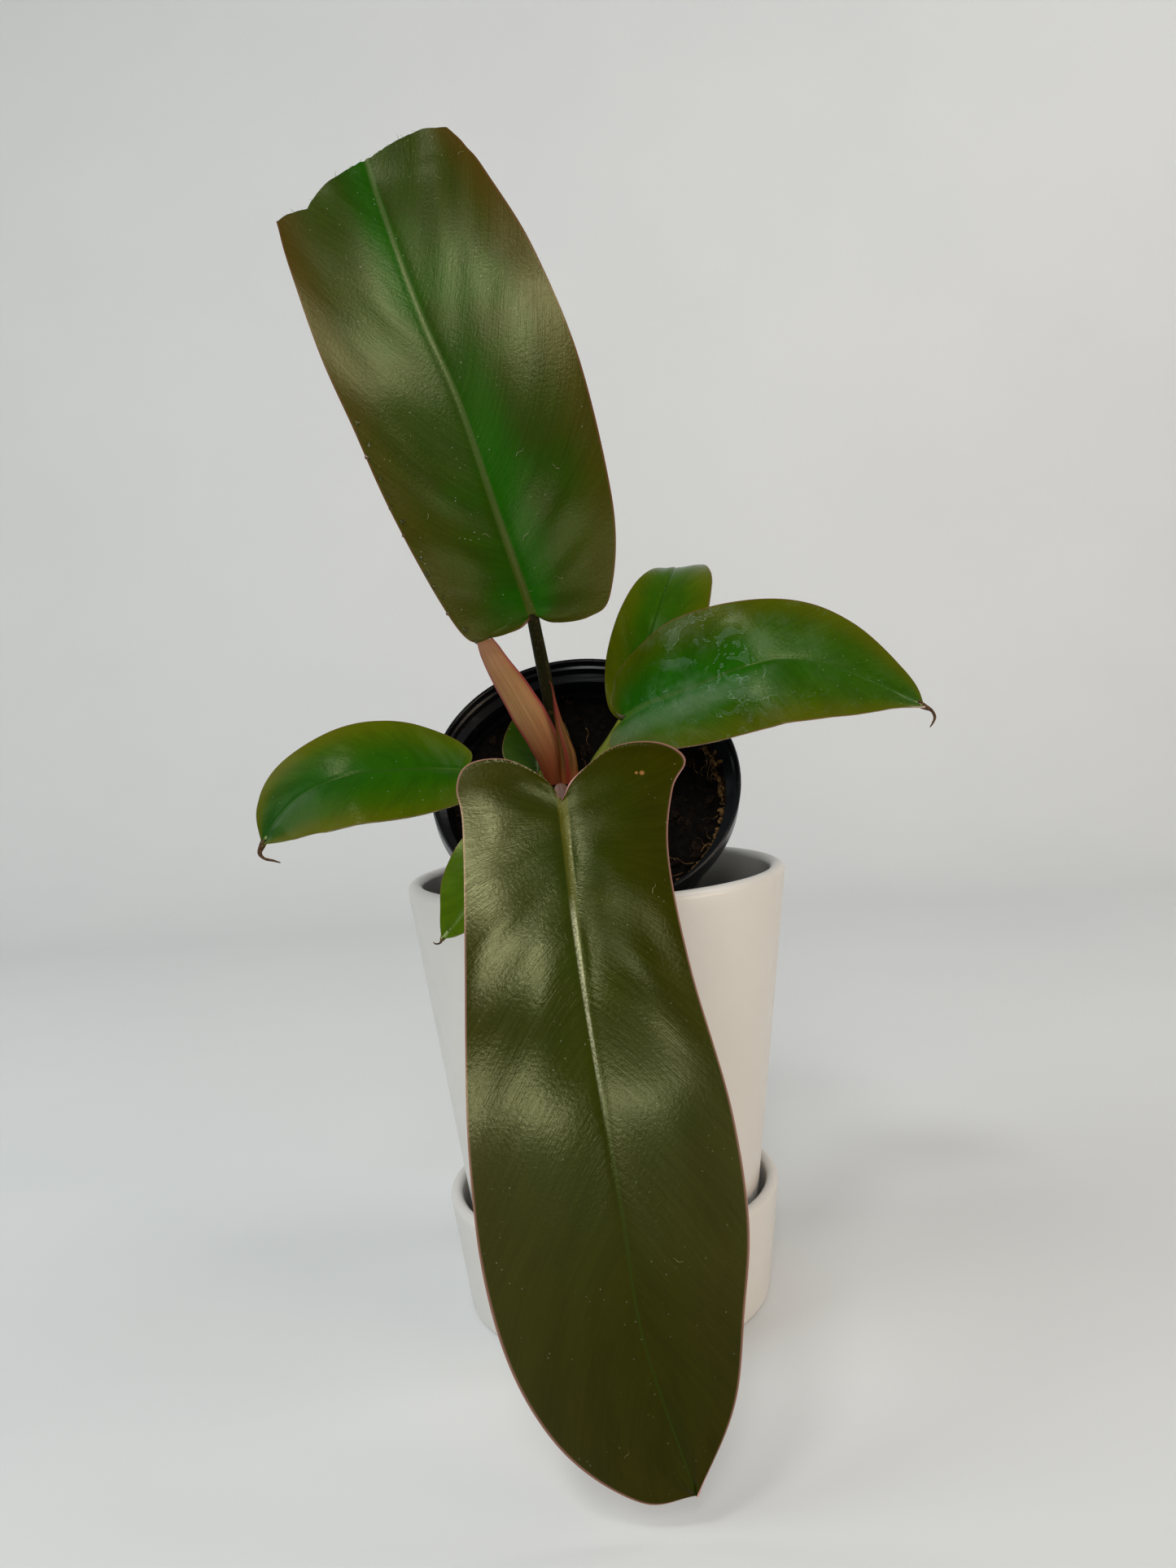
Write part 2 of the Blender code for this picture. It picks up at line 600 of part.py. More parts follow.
def build_stalk(name, leaf):
    base, tip = leaf.get("stalk_radii", (STALK_BASE_RADIUS / MM, STALK_TIP_RADIUS / MM))
    radii = (base * MM, (base + tip) / 2 * MM, tip * MM)
    finish = material(name, (0.25, 0.28, 0.10), 0.45)
    tube(name, [from_crown(point) for point in leaf["stalk"]], radii, radii, finish)


def build_shoot(name, shoot):
    widths = [w * MM for w in shoot["widths"]]
    depths = [d * MM for d in shoot["depths"]]
    finish = material(name, shoot["colour"], 0.45)
    tube(name, [from_crown(point) for point in shoot["route"]], widths, depths, finish)


def main():
    clear_scene()
    build_ceramic_pot()
    build_saucer()
    build_nursery_pot()
    build_potting_mix()
    build_stem()
    for name, leaf in LEAVES.items():
        build_leaf(name + "_leaf", leaf)
        build_stalk(name + "_stalk", leaf)
    for name, shoot in SHOOTS.items():
        build_shoot(name, shoot)


main()
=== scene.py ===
# %% [markdown]
# A potted philodendron with red stems, made around its measured frame.
# The frame gives each part's place and size, and this lesson gives the plant and its pots their looks.
# Every piece is made where it stands, so its object stays at the origin.

import math

import bpy
import numpy as np
from mathutils import Matrix, Vector, noise


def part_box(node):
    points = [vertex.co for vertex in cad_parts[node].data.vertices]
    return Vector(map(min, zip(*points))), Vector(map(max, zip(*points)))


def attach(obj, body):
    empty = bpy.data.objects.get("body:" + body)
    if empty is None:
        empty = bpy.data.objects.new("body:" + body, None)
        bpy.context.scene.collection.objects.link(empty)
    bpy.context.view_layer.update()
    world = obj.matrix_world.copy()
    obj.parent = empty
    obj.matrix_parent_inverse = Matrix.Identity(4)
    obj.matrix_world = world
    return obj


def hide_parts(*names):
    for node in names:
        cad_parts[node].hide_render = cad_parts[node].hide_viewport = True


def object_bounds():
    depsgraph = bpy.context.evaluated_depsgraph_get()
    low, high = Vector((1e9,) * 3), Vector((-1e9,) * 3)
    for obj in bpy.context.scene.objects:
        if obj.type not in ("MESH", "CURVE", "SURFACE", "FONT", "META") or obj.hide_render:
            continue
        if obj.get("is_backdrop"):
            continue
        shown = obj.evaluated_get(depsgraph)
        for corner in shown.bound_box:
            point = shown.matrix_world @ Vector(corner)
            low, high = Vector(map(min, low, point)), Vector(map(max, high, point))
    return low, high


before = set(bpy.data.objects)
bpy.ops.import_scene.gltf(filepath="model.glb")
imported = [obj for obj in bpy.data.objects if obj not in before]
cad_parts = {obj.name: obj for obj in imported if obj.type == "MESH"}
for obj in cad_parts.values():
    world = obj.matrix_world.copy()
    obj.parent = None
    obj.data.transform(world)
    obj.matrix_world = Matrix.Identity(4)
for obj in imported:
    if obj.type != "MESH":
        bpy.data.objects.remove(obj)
cad_low, cad_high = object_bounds()
MM = 0.001
print("frame box, mm:", [round(side / MM, 1) for side in cad_high - cad_low])

# %% [markdown]
# The camera stands a little above the pots and close to them, so the front leaf looms large.
# A wide lens does that; a long one would flatten the plant.

# %% Camera
CAMERA_PLACE = Vector((-0.001, -0.436, 0.223))
CAMERA_DIP = 4.1
CAMERA_TILT = -3.43


def add_object(name, data):
    """A new object in the scene, with the data it shows."""
    made = bpy.data.objects.new(name, data)
    bpy.context.scene.collection.objects.link(made)
    return made


camera_data = bpy.data.cameras.new("camera")
camera_data.lens = 27
camera_data.sensor_width = 36
camera_data.clip_start = 0.01
camera = add_object("camera", camera_data)
dip = Matrix.Rotation(math.radians(90 - CAMERA_DIP), 4, "X")
tilt = Matrix.Rotation(math.radians(CAMERA_TILT), 4, "Z")
camera.matrix_world = Matrix.Translation(CAMERA_PLACE) @ (dip @ tilt)
bpy.context.scene.camera = camera
bpy.context.scene.view_settings.view_transform = "Standard"

# %% [markdown]
# An operator acts on everything that is selected, and the loaded frame comes in selected.
# So each piece starts with nothing selected, and ends with its place put into its mesh.
# Then it is tied to the frame: it rides on the root body and stands for one of the frame's nodes.

# %% Starting and finishing a piece
MERGE = 0.01 * MM


def leave_edit():
    """Goes back to object mode."""
    bpy.ops.object.mode_set(mode="OBJECT")


def start_fresh():
    """Goes to object mode with nothing selected, as each piece should start."""
    if bpy.context.mode != "OBJECT":
        leave_edit()
    bpy.ops.object.select_all(action="DESELECT")


def pick(obj):
    """Selects one object alone and makes it the active one."""
    start_fresh()
    obj.select_set(True)
    bpy.context.view_layer.objects.active = obj


def edit(obj):
    """Selects the whole of one object in edit mode."""
    pick(obj)
    bpy.ops.object.mode_set(mode="EDIT")
    bpy.ops.mesh.select_all(action="SELECT")


def settle(obj, name, smooth=35):
    """Puts the object's place into its mesh and shades it smooth up to that angle."""
    pick(obj)
    obj.name = name
    obj.data.name = name
    bpy.ops.object.transform_apply(location=True, rotation=True, scale=True)
    bpy.ops.object.shade_smooth_by_angle(angle=math.radians(smooth))
    return obj


def merge_doubles(obj):
    """Merges the vertices of one object that lie on one another."""
    edit(obj)
    bpy.ops.mesh.remove_doubles(threshold=MERGE)
    leave_edit()


def close_up(obj):
    """Merges doubles, fills open ends and turns all faces outwards."""
    edit(obj)
    bpy.ops.mesh.remove_doubles(threshold=MERGE)
    bpy.ops.mesh.fill_holes(sides=0)
    bpy.ops.mesh.normals_make_consistent(inside=False)
    leave_edit()


def belong(obj, slot, *nodes):
    """Ties a finished piece to the frame."""
    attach(obj, "root")
    if nodes:
        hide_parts(*nodes)
    print(obj.name, len(obj.data.polygons), "faces")


def dress(obj, material, slot, *nodes):
    """Gives a finished piece its material and ties it to the frame."""
    obj.data.materials.append(material)
    belong(obj, slot, *nodes)


# %% [markdown]
# Soft daylight comes from a window on the left, and a weaker warm lamp stands on the right. Glossy leaves
# show the room they stand in, so three small window panes in front of the plant, each placed by the mirror
# rule, draw the pale sheens on the blades. A last light brightens the wall on the right.
# A paper sweep, a floor that curves up into a wall, gives a pale ground with no horizon.
# It is a flat sheet whose back edge is pulled up and then rounded with a bevel.

# %% Paper sweep and lights
SWEEP_WIDTH = 8
SWEEP_FRONT = 1.6
SWEEP_BACK = 1.25
SWEEP_HEIGHT = 3.2
SWEEP_BEND = 0.5

start_fresh()
bpy.ops.mesh.primitive_plane_add(size=1, location=(0, (SWEEP_BACK - SWEEP_FRONT) / 2, 0))
sweep = bpy.context.object
sweep.scale = (SWEEP_WIDTH, SWEEP_BACK + SWEEP_FRONT, 1)
settle(sweep, "paper_sweep")


def choose_low_back_edge():
    """Selects the sweep's edge at the back of its floor, in edit mode."""
    edit(sweep)
    bpy.ops.mesh.select_all(action="DESELECT")
    leave_edit()
    for edge in sweep.data.edges:
        ends = [sweep.data.vertices[v].co for v in edge.vertices]
        edge.select = all(end.y > 0 and end.z < MM for end in ends)
    bpy.ops.object.mode_set(mode="EDIT")
    bpy.ops.mesh.select_mode(type="EDGE")


choose_low_back_edge()
bpy.ops.mesh.extrude_edges_move(TRANSFORM_OT_translate={"value": (0, 0, SWEEP_HEIGHT)})
choose_low_back_edge()
bpy.ops.mesh.bevel(offset=SWEEP_BEND, segments=24)
settle(sweep, "paper_sweep", 60)
sweep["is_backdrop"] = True


def area_light(name, place, target, size, power, colour):
    """A rectangular light at a place, turned to face a target."""
    light = bpy.data.lights.new(name, "AREA")
    light.shape = "RECTANGLE"
    light.size, light.size_y = size
    light.energy = power
    light.color = colour
    lamp = add_object(name, light)
    lamp.location = place
    lamp.rotation_euler = (Vector(target) - Vector(place)).to_track_quat("-Z", "Y").to_euler()


PLANT_MIDDLE = (0, 0, 0.2)
area_light("side_window", (-1.3, -0.35, 1.1), PLANT_MIDDLE, (1.2, 1.2), 13, (0.93, 0.98, 1.0))
area_light("middle_pane", (-0.08, -1.5, 1.27), PLANT_MIDDLE, (0.30, 0.60), 8.5, (0.98, 1.0, 0.99))
area_light("high_pane", (-0.48, -1.08, 1.82), PLANT_MIDDLE, (0.32, 0.26), 7.0, (0.98, 1.0, 0.99))
area_light("low_pane", (-0.12, -1.6, 0.25), PLANT_MIDDLE, (0.46, 0.26), 4.2, (0.98, 1.0, 0.99))
area_light("lamp", (1.2, -0.6, 0.35), PLANT_MIDDLE, (0.6, 0.6), 7, (1.0, 0.78, 0.56))
area_light("wall_light", (1.2, 0.0, 1.4), (0.5, 1.2, 0.9), (0.8, 0.8), 8, (1.0, 0.98, 0.98))
world = bpy.data.worlds.new("room")
bpy.context.scene.world = world
world.use_nodes = True
room_light = world.node_tree.nodes["Background"].inputs
room_light["Color"].default_value = (0.90, 0.93, 0.94, 1)
room_light["Strength"].default_value = 0.20

# %% [markdown]
# Every finish is a small network of nodes that ends in one Principled shader.
# A short wrapper keeps the recipes readable: each method adds one kind of node and gives back its output.
# Patterns read Object coordinates in metres, or the map that a piece carries in its mesh.

# %% A palette of nodes


class Finish:
    """One material, built node by node."""

    def __init__(self, name, **sockets):
        self.material = bpy.data.materials.new(name)
        self.material.use_nodes = True
        self.tree = self.material.node_tree
        self.shader = self.tree.nodes["Principled BSDF"]
        self.set(**sockets)

    def set(self, **sockets):
        """Sets or links the shader's sockets, named with underscores for spaces."""
        for name, value in sockets.items():
            self.fill(self.shader.inputs[name.replace("_", " ").title().replace("Ior", "IOR")], value)

    def fill(self, socket, value):
        if isinstance(value, bpy.types.NodeSocket):
            self.tree.links.new(value, socket)
        elif socket.type == "RGBA" and len(value) == 3:
            socket.default_value = (*value, 1)
        else:
            socket.default_value = value

    def node(self, kind, inputs=(), **settings):
        made = self.tree.nodes.new("ShaderNode" + kind)
        for name, value in settings.items():
            setattr(made, name, value)
        for key, value in dict(inputs).items():
            self.fill(made.inputs[key], value)
        return made

    def place(self, scale=(1, 1, 1), turn=(0, 0, 0), middle=(0, 0, 0)):
        """Object coordinates, moved to a middle, turned and scaled."""
        at = self.node("TexCoord").outputs["Object"]
        back = self.node("VectorMath", {0: at, 1: middle}, operation="SUBTRACT").outputs[0]
        inputs = {"Vector": back, "Rotation": turn, "Scale": scale}
        return self.node("Mapping", inputs).outputs[0]

    def map(self, name="vein_map"):
        """A map carried by the mesh, as a vector."""
        return self.node("UVMap", uv_map=name).outputs[0]

    def split(self, vector):
        return self.node("SeparateXYZ", {0: vector}).outputs

    def noise(self, vector, scale, detail=3.0, rough=0.5, distortion=0.0):
        inputs = {"Vector": vector, "Scale": scale, "Detail": detail, "Roughness": rough}
        return self.node("TexNoise", {**inputs, "Distortion": distortion}).outputs["Fac"]

    def grain(self, across, along, detail=4.0, rough=0.5):
        """Noise on the vein map, with so many streaks across and along it."""
        stretched = self.node("Mapping", {"Vector": self.map(), "Scale": (across, along, 1)}).outputs[0]
        return self.noise(stretched, 1.0, detail, rough)

    def cells(self, vector, scale):
        return self.node("TexVoronoi", {"Vector": vector, "Scale": scale}).outputs["Distance"]

    def math(self, operation, a, b=0.0):
        return self.node("Math", {0: a, 1: b}, operation=operation).outputs[0]

    def times(self, product, *others):
        for other in others:
            product = self.math("MULTIPLY", product, other)
        return product

    def gap(self, value, centre):
        """How far a value lies from a centre."""
        return self.math("ABSOLUTE", self.math("SUBTRACT", value, centre))

    def away(self, vector, point):
        """How far a vector lies from a point."""
        return self.node("VectorMath", {0: vector, 1: point}, operation="DISTANCE").outputs["Value"]

    def fade(self, value, low, high, out_low=0.0, out_high=1.0):
        """A smooth step from out_low at low to out_high at high."""
        inputs = {"Value": value, "From Min": low, "From Max": high, "To Min": out_low, "To Max": out_high}
        return self.node("MapRange", inputs, interpolation_type="SMOOTHSTEP").outputs[0]

    def mix(self, share, a, b, blend="MIX"):
        made = self.node("Mix", {0: share, 6: a, 7: b}, data_type="RGBA", blend_type=blend)
        return made.outputs[2]

    def paint(self, share, colour, blend="MIX"):
        """Lays a colour over the tone so far, by a share from 0 to 1."""
        self.tone = self.mix(share, self.tone, colour, blend)

    def bump(self, height, distance, normal=None):
        inputs = {"Height": height, "Distance": distance, "Strength": 1.0}
        if normal:
            inputs["Normal"] = normal
        return self.node("Bump", inputs).outputs[0]


# %% [markdown]
# The paper of the sweep is nearly flat white. A very faint grain keeps it from looking like a drawing.

# %% Paper finish
paper = Finish("paper", roughness=0.85)
paper_grain = paper.noise(paper.place(), 6.0, detail=5.0)
paper.set(base_color=paper.mix(paper_grain, (0.64, 0.65, 0.65), (0.69, 0.695, 0.685)))
sweep.data.materials.append(paper.material)

# %% [markdown]
# A potter turns a pot by drawing the clay up ring by ring, and these pots are made the same way.
# One circle is extruded along the pot's outline and resized at each step, up the outside,
# over the rounded rim, down the inside and back to where it started. The two ends then merge.

# %% Turning a pot
POT_SEGMENTS = 160


class Outline:
    """A pot's outline, drawn as points of radius and height."""

    def __init__(self, *points):
        self.points = list(points)

    def add(self, *points):
        self.points += points

    def line(self, end, steps, start=None):
        """Goes straight to an end in even steps, from the last point unless a start is given."""
        x, y = start or self.points[-1]
        shares = np.arange(1, steps + 1) / steps
        self.add(*((x + (end[0] - x) * share, y + (end[1] - y) * share) for share in shares))

    def arc(self, centre, radius, start, end, steps):
        """Goes round a centre, from one angle to another."""
        angles = np.radians(np.linspace(start, end, steps + 1))
        self.add(*((centre[0] + radius * math.cos(a), centre[1] + radius * math.sin(a)) for a in angles))


def turn_pot(outline, segments=POT_SEGMENTS):
    """Extrudes a circle along an outline and closes it up."""
    start_fresh()
    radius, height = outline.points[0]
    bpy.ops.mesh.primitive_circle_add(vertices=segments, radius=radius, location=(0, 0, height))
    pot = bpy.context.object
    edit(pot)
    for (radius, height), (next_radius, next_height) in zip(outline.points, outline.points[1:]):
        rise = {"value": (0, 0, next_height - height)}
        bpy.ops.mesh.extrude_edges_move(TRANSFORM_OT_translate=rise)
        grow = next_radius / radius
        bpy.ops.transform.resize(value=(grow, grow, 1), center_override=(0, 0, 0))
    leave_edit()
    close_up(pot)
    bpy.ops.object.transform_apply(location=True, rotation=True, scale=True)
    return pot


# %% [markdown]
# The white pot is slip-cast stoneware under a satin glaze: a straight taper with a soft rounded rim.
# Its sizes are read from the frame, so it always fits the saucer and the pot that leans in it.

# %% White pot
pot_low, pot_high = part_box("ceramic_pot")
POT_TOP_RADIUS = 70 * MM
POT_BASE_RADIUS = 50 * MM
POT_WALL = 5.5 * MM
POT_FLOOR = 7 * MM
POT_FOOT_ROUND = 3 * MM
POT_DRAIN_RADIUS = 7 * MM
POT_RIM_ROUND = POT_WALL / 2
POT_TAPER = (POT_TOP_RADIUS - POT_BASE_RADIUS) / (pot_high.z - pot_low.z)


def pot_radius(height):
    """The white pot's outer radius at a height."""
    return POT_BASE_RADIUS + POT_TAPER * (height - pot_low.z)


rim_z = pot_high.z - POT_RIM_ROUND
floor_z = pot_low.z + POT_FLOOR
foot_z = pot_low.z + POT_FOOT_ROUND
inside_foot = (pot_radius(floor_z) - POT_WALL, floor_z)
pot_outline = Outline((POT_DRAIN_RADIUS, pot_low.z + 1.5 * MM), (POT_DRAIN_RADIUS + 1.5 * MM, pot_low.z))
pot_outline.line((pot_radius(pot_low.z) - POT_FOOT_ROUND, pot_low.z), 8)
pot_outline.arc((pot_radius(foot_z) - POT_FOOT_ROUND, foot_z), POT_FOOT_ROUND, -80, 0, 6)
pot_outline.line((pot_radius(rim_z), rim_z), 36)
pot_outline.arc((pot_radius(rim_z) - POT_RIM_ROUND, rim_z), POT_RIM_ROUND, 10, 180, 14)
pot_outline.line((inside_foot[0], inside_foot[1] + 6 * MM), 32)
pot_outline.arc((inside_foot[0] - 6 * MM, inside_foot[1] + 6 * MM), 6 * MM, -10, -90, 8)
pot_outline.line((POT_DRAIN_RADIUS, floor_z), 8)
pot_outline.add(pot_outline.points[0])
white_pot = settle(turn_pot(pot_outline), "white_pot")

# %% [markdown]
# The saucer is the same clay. It stands like a low bowl, and the pot sits inside it.

# %% Saucer
_, saucer_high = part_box("saucer")
SAUCER_FLOOR = 4.7 * MM
SAUCER_WALL = 4.5 * MM
SAUCER_BASE_INSIDE = 52.2 * MM
SAUCER_RIM_INSIDE = 57.2 * MM
SAUCER_FOOT_ROUND = 2 * MM
AXIS_RADIUS = 0.5 * MM
saucer_rim_z = saucer_high.z - SAUCER_WALL / 2
saucer_rim = (SAUCER_RIM_INSIDE + SAUCER_WALL / 2, saucer_rim_z)
saucer_foot = (SAUCER_BASE_INSIDE + SAUCER_WALL - SAUCER_FOOT_ROUND, SAUCER_FOOT_ROUND)
saucer_outline = Outline((AXIS_RADIUS, 0))
saucer_outline.line((saucer_foot[0], 0), 10)
saucer_outline.arc(saucer_foot, SAUCER_FOOT_ROUND, -80, 0, 6)
saucer_outline.line((saucer_rim[0] + SAUCER_WALL / 2, saucer_rim_z), 14)
saucer_outline.arc(saucer_rim, SAUCER_WALL / 2, 10, 180, 12)
saucer_outline.line((SAUCER_BASE_INSIDE, SAUCER_FLOOR + 3 * MM), 12)
saucer_outline.arc((SAUCER_BASE_INSIDE - 3 * MM, SAUCER_FLOOR + 3 * MM), 3 * MM, -10, -90, 6)
saucer_outline.line((AXIS_RADIUS, SAUCER_FLOOR), 10)
white_saucer = settle(turn_pot(saucer_outline), "white_saucer")

# %% [markdown]
# Glazed clay is never quite true: the surface rolls gently, the glaze pools and thins, small pits
# stay open, and earth from planting leaves faint smudges and grains. Noise of several sizes gives all of it.

# %% Satin white glaze


def glaze(name, seed):
    """Satin white glaze, shifted by a seed so that no two pieces share their marks."""
    coat = Finish(name, specular_ior_level=0.5, coat_weight=0.25, coat_roughness=0.18)
    at = coat.place(middle=(seed, 0, 0))
    cloud = coat.noise(at, 14.0, detail=4.0)
    smudge = coat.fade(coat.noise(at, 30.0, detail=6.0, rough=0.65), 0.58, 0.80)
    grains = coat.fade(coat.cells(at, 260.0), 0.05, 0.10, 1.0, 0.0)
    seldom = coat.fade(coat.noise(at, 22.0, detail=2.0), 0.60, 0.66)
    coat.tone = coat.mix(cloud, (0.535, 0.515, 0.475), (0.59, 0.57, 0.54))
    coat.paint(coat.times(smudge, 0.22), (0.50, 0.46, 0.40))
    coat.paint(coat.times(grains, seldom, 0.6), (0.22, 0.17, 0.12))
    rolls = coat.bump(coat.noise(at, 45.0, detail=2.0), 0.6 * MM)
    skin = coat.bump(coat.noise(at, 900.0, detail=3.0), 0.03 * MM, rolls)
    rough = coat.fade(coat.noise(at, 60.0, detail=5.0), 0.3, 0.7, 0.30, 0.46)
    coat.set(base_color=coat.tone, roughness=rough, normal=skin)
    return coat.material


dress(white_pot, glaze("pot_glaze", 0.0), "white_ceramic", "ceramic_pot")
dress(white_saucer, glaze("saucer_glaze", 0.7), "white_ceramic", "saucer")

# %% [markdown]
# The grower's pot is thin black plastic, blown in a mould. It has a stepped rim band, faint rings down
# its wall, and drain holes in its base. It leans in the mouth of the white pot.
# Its place comes back from the frame: a tilted circle's reach along an axis is its radius times the sine
# of the angle between its own axis and that one, so the rim's middle is that far inside the box.

# %% Where the grower's pot lies
NURSERY_RIM_RADIUS = 54 * MM
NURSERY_BASE_RADIUS = 37 * MM
NURSERY_HEIGHT = 90 * MM
NURSERY_WALL = 1.4 * MM
NURSERY_RIM_BAND = 8 * MM
NURSERY_RIM_STEP = 1.8 * MM
NURSERY_TILT = 50
NURSERY_LEAN = 1
SOIL_DEPTH = 16 * MM

nursery_low, nursery_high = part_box("nursery_pot")
lean = Matrix.Rotation(math.radians(NURSERY_LEAN), 4, "Y")
nursery_turn = lean @ Matrix.Rotation(math.radians(NURSERY_TILT), 4, "X")
pot_axis = nursery_turn.to_3x3() @ Vector((0, 0, 1))
reach = Vector([NURSERY_RIM_RADIUS * math.sqrt(1 - part * part) for part in pot_axis])
rim_middle = Vector((nursery_low.x + reach.x, nursery_low.y + reach.y, nursery_high.z - reach.z))
nursery_place = Matrix.Translation(rim_middle) @ nursery_turn
print("rim middle, mm:", [round(v / MM, 2) for v in rim_middle])


def nursery_outside(depth):
    """The body's outer radius at a depth below the rim."""
    top = NURSERY_RIM_RADIUS - NURSERY_RIM_STEP
    return top + (NURSERY_BASE_RADIUS - top) * depth / NURSERY_HEIGHT


# %% [markdown]
# The pot itself is turned like the white one, upright at first and with its rim at height zero. Its outline
# goes down the outside to the base, back up to the rim, and down the inside, with a step at each ring.
# Boxes cut from a cylinder would do, but one outline keeps the wall even all the way.

# %% Grower's pot
RING_DEPTHS = (14 * MM, 20 * MM, 26 * MM)
RING_HEIGHT = 0.45 * MM
EDGE_ROUND = 0.4 * MM


def ringed(inside):
    """The wall's outline from the rim band down, with a small moulded step at each ring."""
    thick = NURSERY_WALL if inside else 0
    points = []
    for depth in RING_DEPTHS:
        for shift, out in ((-1.2, 0), (-0.5, 1), (0.5, 1), (1.2, 0)):
            at = depth + shift * MM
            points.append((nursery_outside(at) - thick + out * RING_HEIGHT, -at))
    return points


band_inside = NURSERY_RIM_RADIUS - NURSERY_WALL
band_end = -NURSERY_RIM_BAND
floor_depth = NURSERY_HEIGHT - NURSERY_WALL
wall_end = nursery_outside(NURSERY_HEIGHT - 3 * MM)
nursery_outline = Outline((AXIS_RADIUS, -NURSERY_HEIGHT + MM), (8 * MM, -NURSERY_HEIGHT + MM))
nursery_outline.add((9 * MM, -NURSERY_HEIGHT))
nursery_outline.line((NURSERY_BASE_RADIUS - 2 * MM, -NURSERY_HEIGHT), 6)
nursery_outline.arc((wall_end - 2 * MM, -NURSERY_HEIGHT + 2 * MM), 2 * MM, -70, 0, 5)
nursery_outline.line((nursery_outside(32 * MM), -32 * MM), 12)
nursery_outline.add(*reversed(ringed(False)))
nursery_outline.add((nursery_outside(-band_end), band_end), (NURSERY_RIM_RADIUS - EDGE_ROUND, band_end))
nursery_outline.arc((NURSERY_RIM_RADIUS - EDGE_ROUND, band_end + EDGE_ROUND), EDGE_ROUND, -60, 0, 3)
nursery_outline.line((NURSERY_RIM_RADIUS, -EDGE_ROUND * 1.5), 4)
half_wall = NURSERY_WALL / 2
nursery_outline.arc((NURSERY_RIM_RADIUS - half_wall, -half_wall), half_wall, 10, 170, 8)
nursery_outline.add((band_inside, -EDGE_ROUND * 2), (band_inside, -3 * MM))
nursery_outline.add((band_inside - 0.7 * MM, -3.6 * MM), (band_inside - 0.7 * MM, band_end + NURSERY_WALL))
nursery_outline.add((nursery_outside(8.2 * MM) - NURSERY_WALL, -8.2 * MM))
nursery_outline.add(*ringed(True))
top, bottom = [(nursery_outside(depth) - NURSERY_WALL, -depth) for depth in (32 * MM, floor_depth)]
nursery_outline.line(bottom, 10, top)
nursery_outline.line((AXIS_RADIUS, -floor_depth), 5)
grower_pot = turn_pot(nursery_outline, 144)

# %% [markdown]
# Six drain holes are cut with one rod, set round the base one after another. The cut is a Boolean that is
# applied at once, so nothing hidden stays behind.

# %% Drain holes
DRAIN_HOLES = 6
DRAIN_HOLE_RADIUS = 4.5 * MM
DRAIN_RING = 0.62 * NURSERY_BASE_RADIUS


def apply_modifier(obj, kind, **settings):
    """Adds a modifier of a kind, sets it and applies it."""
    pick(obj)
    made = obj.modifiers.new(kind.title(), kind)
    for name, value in settings.items():
        setattr(made, name, value)
    bpy.ops.object.modifier_apply(modifier=made.name)


for hole in range(DRAIN_HOLES):
    start_fresh()
    angle = 2 * math.pi * hole / DRAIN_HOLES
    middle = (DRAIN_RING * math.cos(angle), DRAIN_RING * math.sin(angle), -NURSERY_HEIGHT)
    bpy.ops.mesh.primitive_cylinder_add(vertices=32, radius=DRAIN_HOLE_RADIUS, depth=8 * MM, location=middle)
    rod = bpy.context.object
    apply_modifier(grower_pot, "BOOLEAN", object=rod, operation="DIFFERENCE", solver="EXACT")
    bpy.data.objects.remove(rod)
grower_pot.matrix_world = nursery_place
settle(grower_pot, "grower_pot")

# %% [markdown]
# Black plastic shows itself by its shine: sharp on the rim, dulled where dust and dried water lie.
# Fine scuffs run round the pot, and a thin film of dust lightens the inner wall in patches.

# %% Black plastic
plastic = Finish("black_plastic", specular_ior_level=0.24)
pot_turn = nursery_turn.inverted().to_euler()
around = plastic.place(turn=tuple(pot_turn), middle=tuple(rim_middle))
dust = plastic.fade(plastic.noise(around, 55.0, detail=6.0, rough=0.7), 0.48, 0.74)
film = plastic.times(dust, plastic.fade(plastic.noise(around, 18.0, detail=3.0), 0.45, 0.7))
grit = plastic.fade(plastic.cells(around, 330.0), 0.06, 0.13, 1.0, 0.0)
grit = plastic.times(grit, plastic.fade(plastic.noise(around, 40.0), 0.55, 0.65))
plastic.tone = plastic.mix(film, (0.003, 0.0035, 0.0045), (0.022, 0.022, 0.020))
plastic.paint(grit, (0.13, 0.085, 0.04))
scuff = plastic.noise(plastic.place(scale=(1, 1, 14), turn=tuple(pot_turn), middle=tuple(rim_middle)), 60.0)
shine = plastic.fade(film, 0.0, 1.0, 0.26, 0.62)
plastic.set(base_color=plastic.tone, roughness=shine, normal=plastic.bump(scuff, 0.05 * MM))
dress(grower_pot, plastic.material, "black_plastic", "nursery_pot")

# %% [markdown]
# Potting mix is crumbs of peat and bark in every size. Its bed is a turned disc, cut finely and
# pushed up and down by noise, and bark is strewn over it. Dry crumbs cling to the wall above it.
# Each kind is modelled once. The copies are turned and resized at random, with a fixed seed, and joined.

# %% Bed of potting mix
BED_GAP = 0.3 * MM
bed_radius = nursery_outside(SOIL_DEPTH) - NURSERY_WALL - BED_GAP
bed_bottom = floor_depth - 2 * MM
bottom_radius = nursery_outside(bed_bottom) - NURSERY_WALL - BED_GAP
bed_outline = Outline((AXIS_RADIUS, -bed_bottom), (bottom_radius, -bed_bottom))
bed_outline.line((bed_radius, -SOIL_DEPTH), 10)
bed_outline.line((AXIS_RADIUS, -SOIL_DEPTH), 60)
bed = turn_pot(bed_outline, 180)


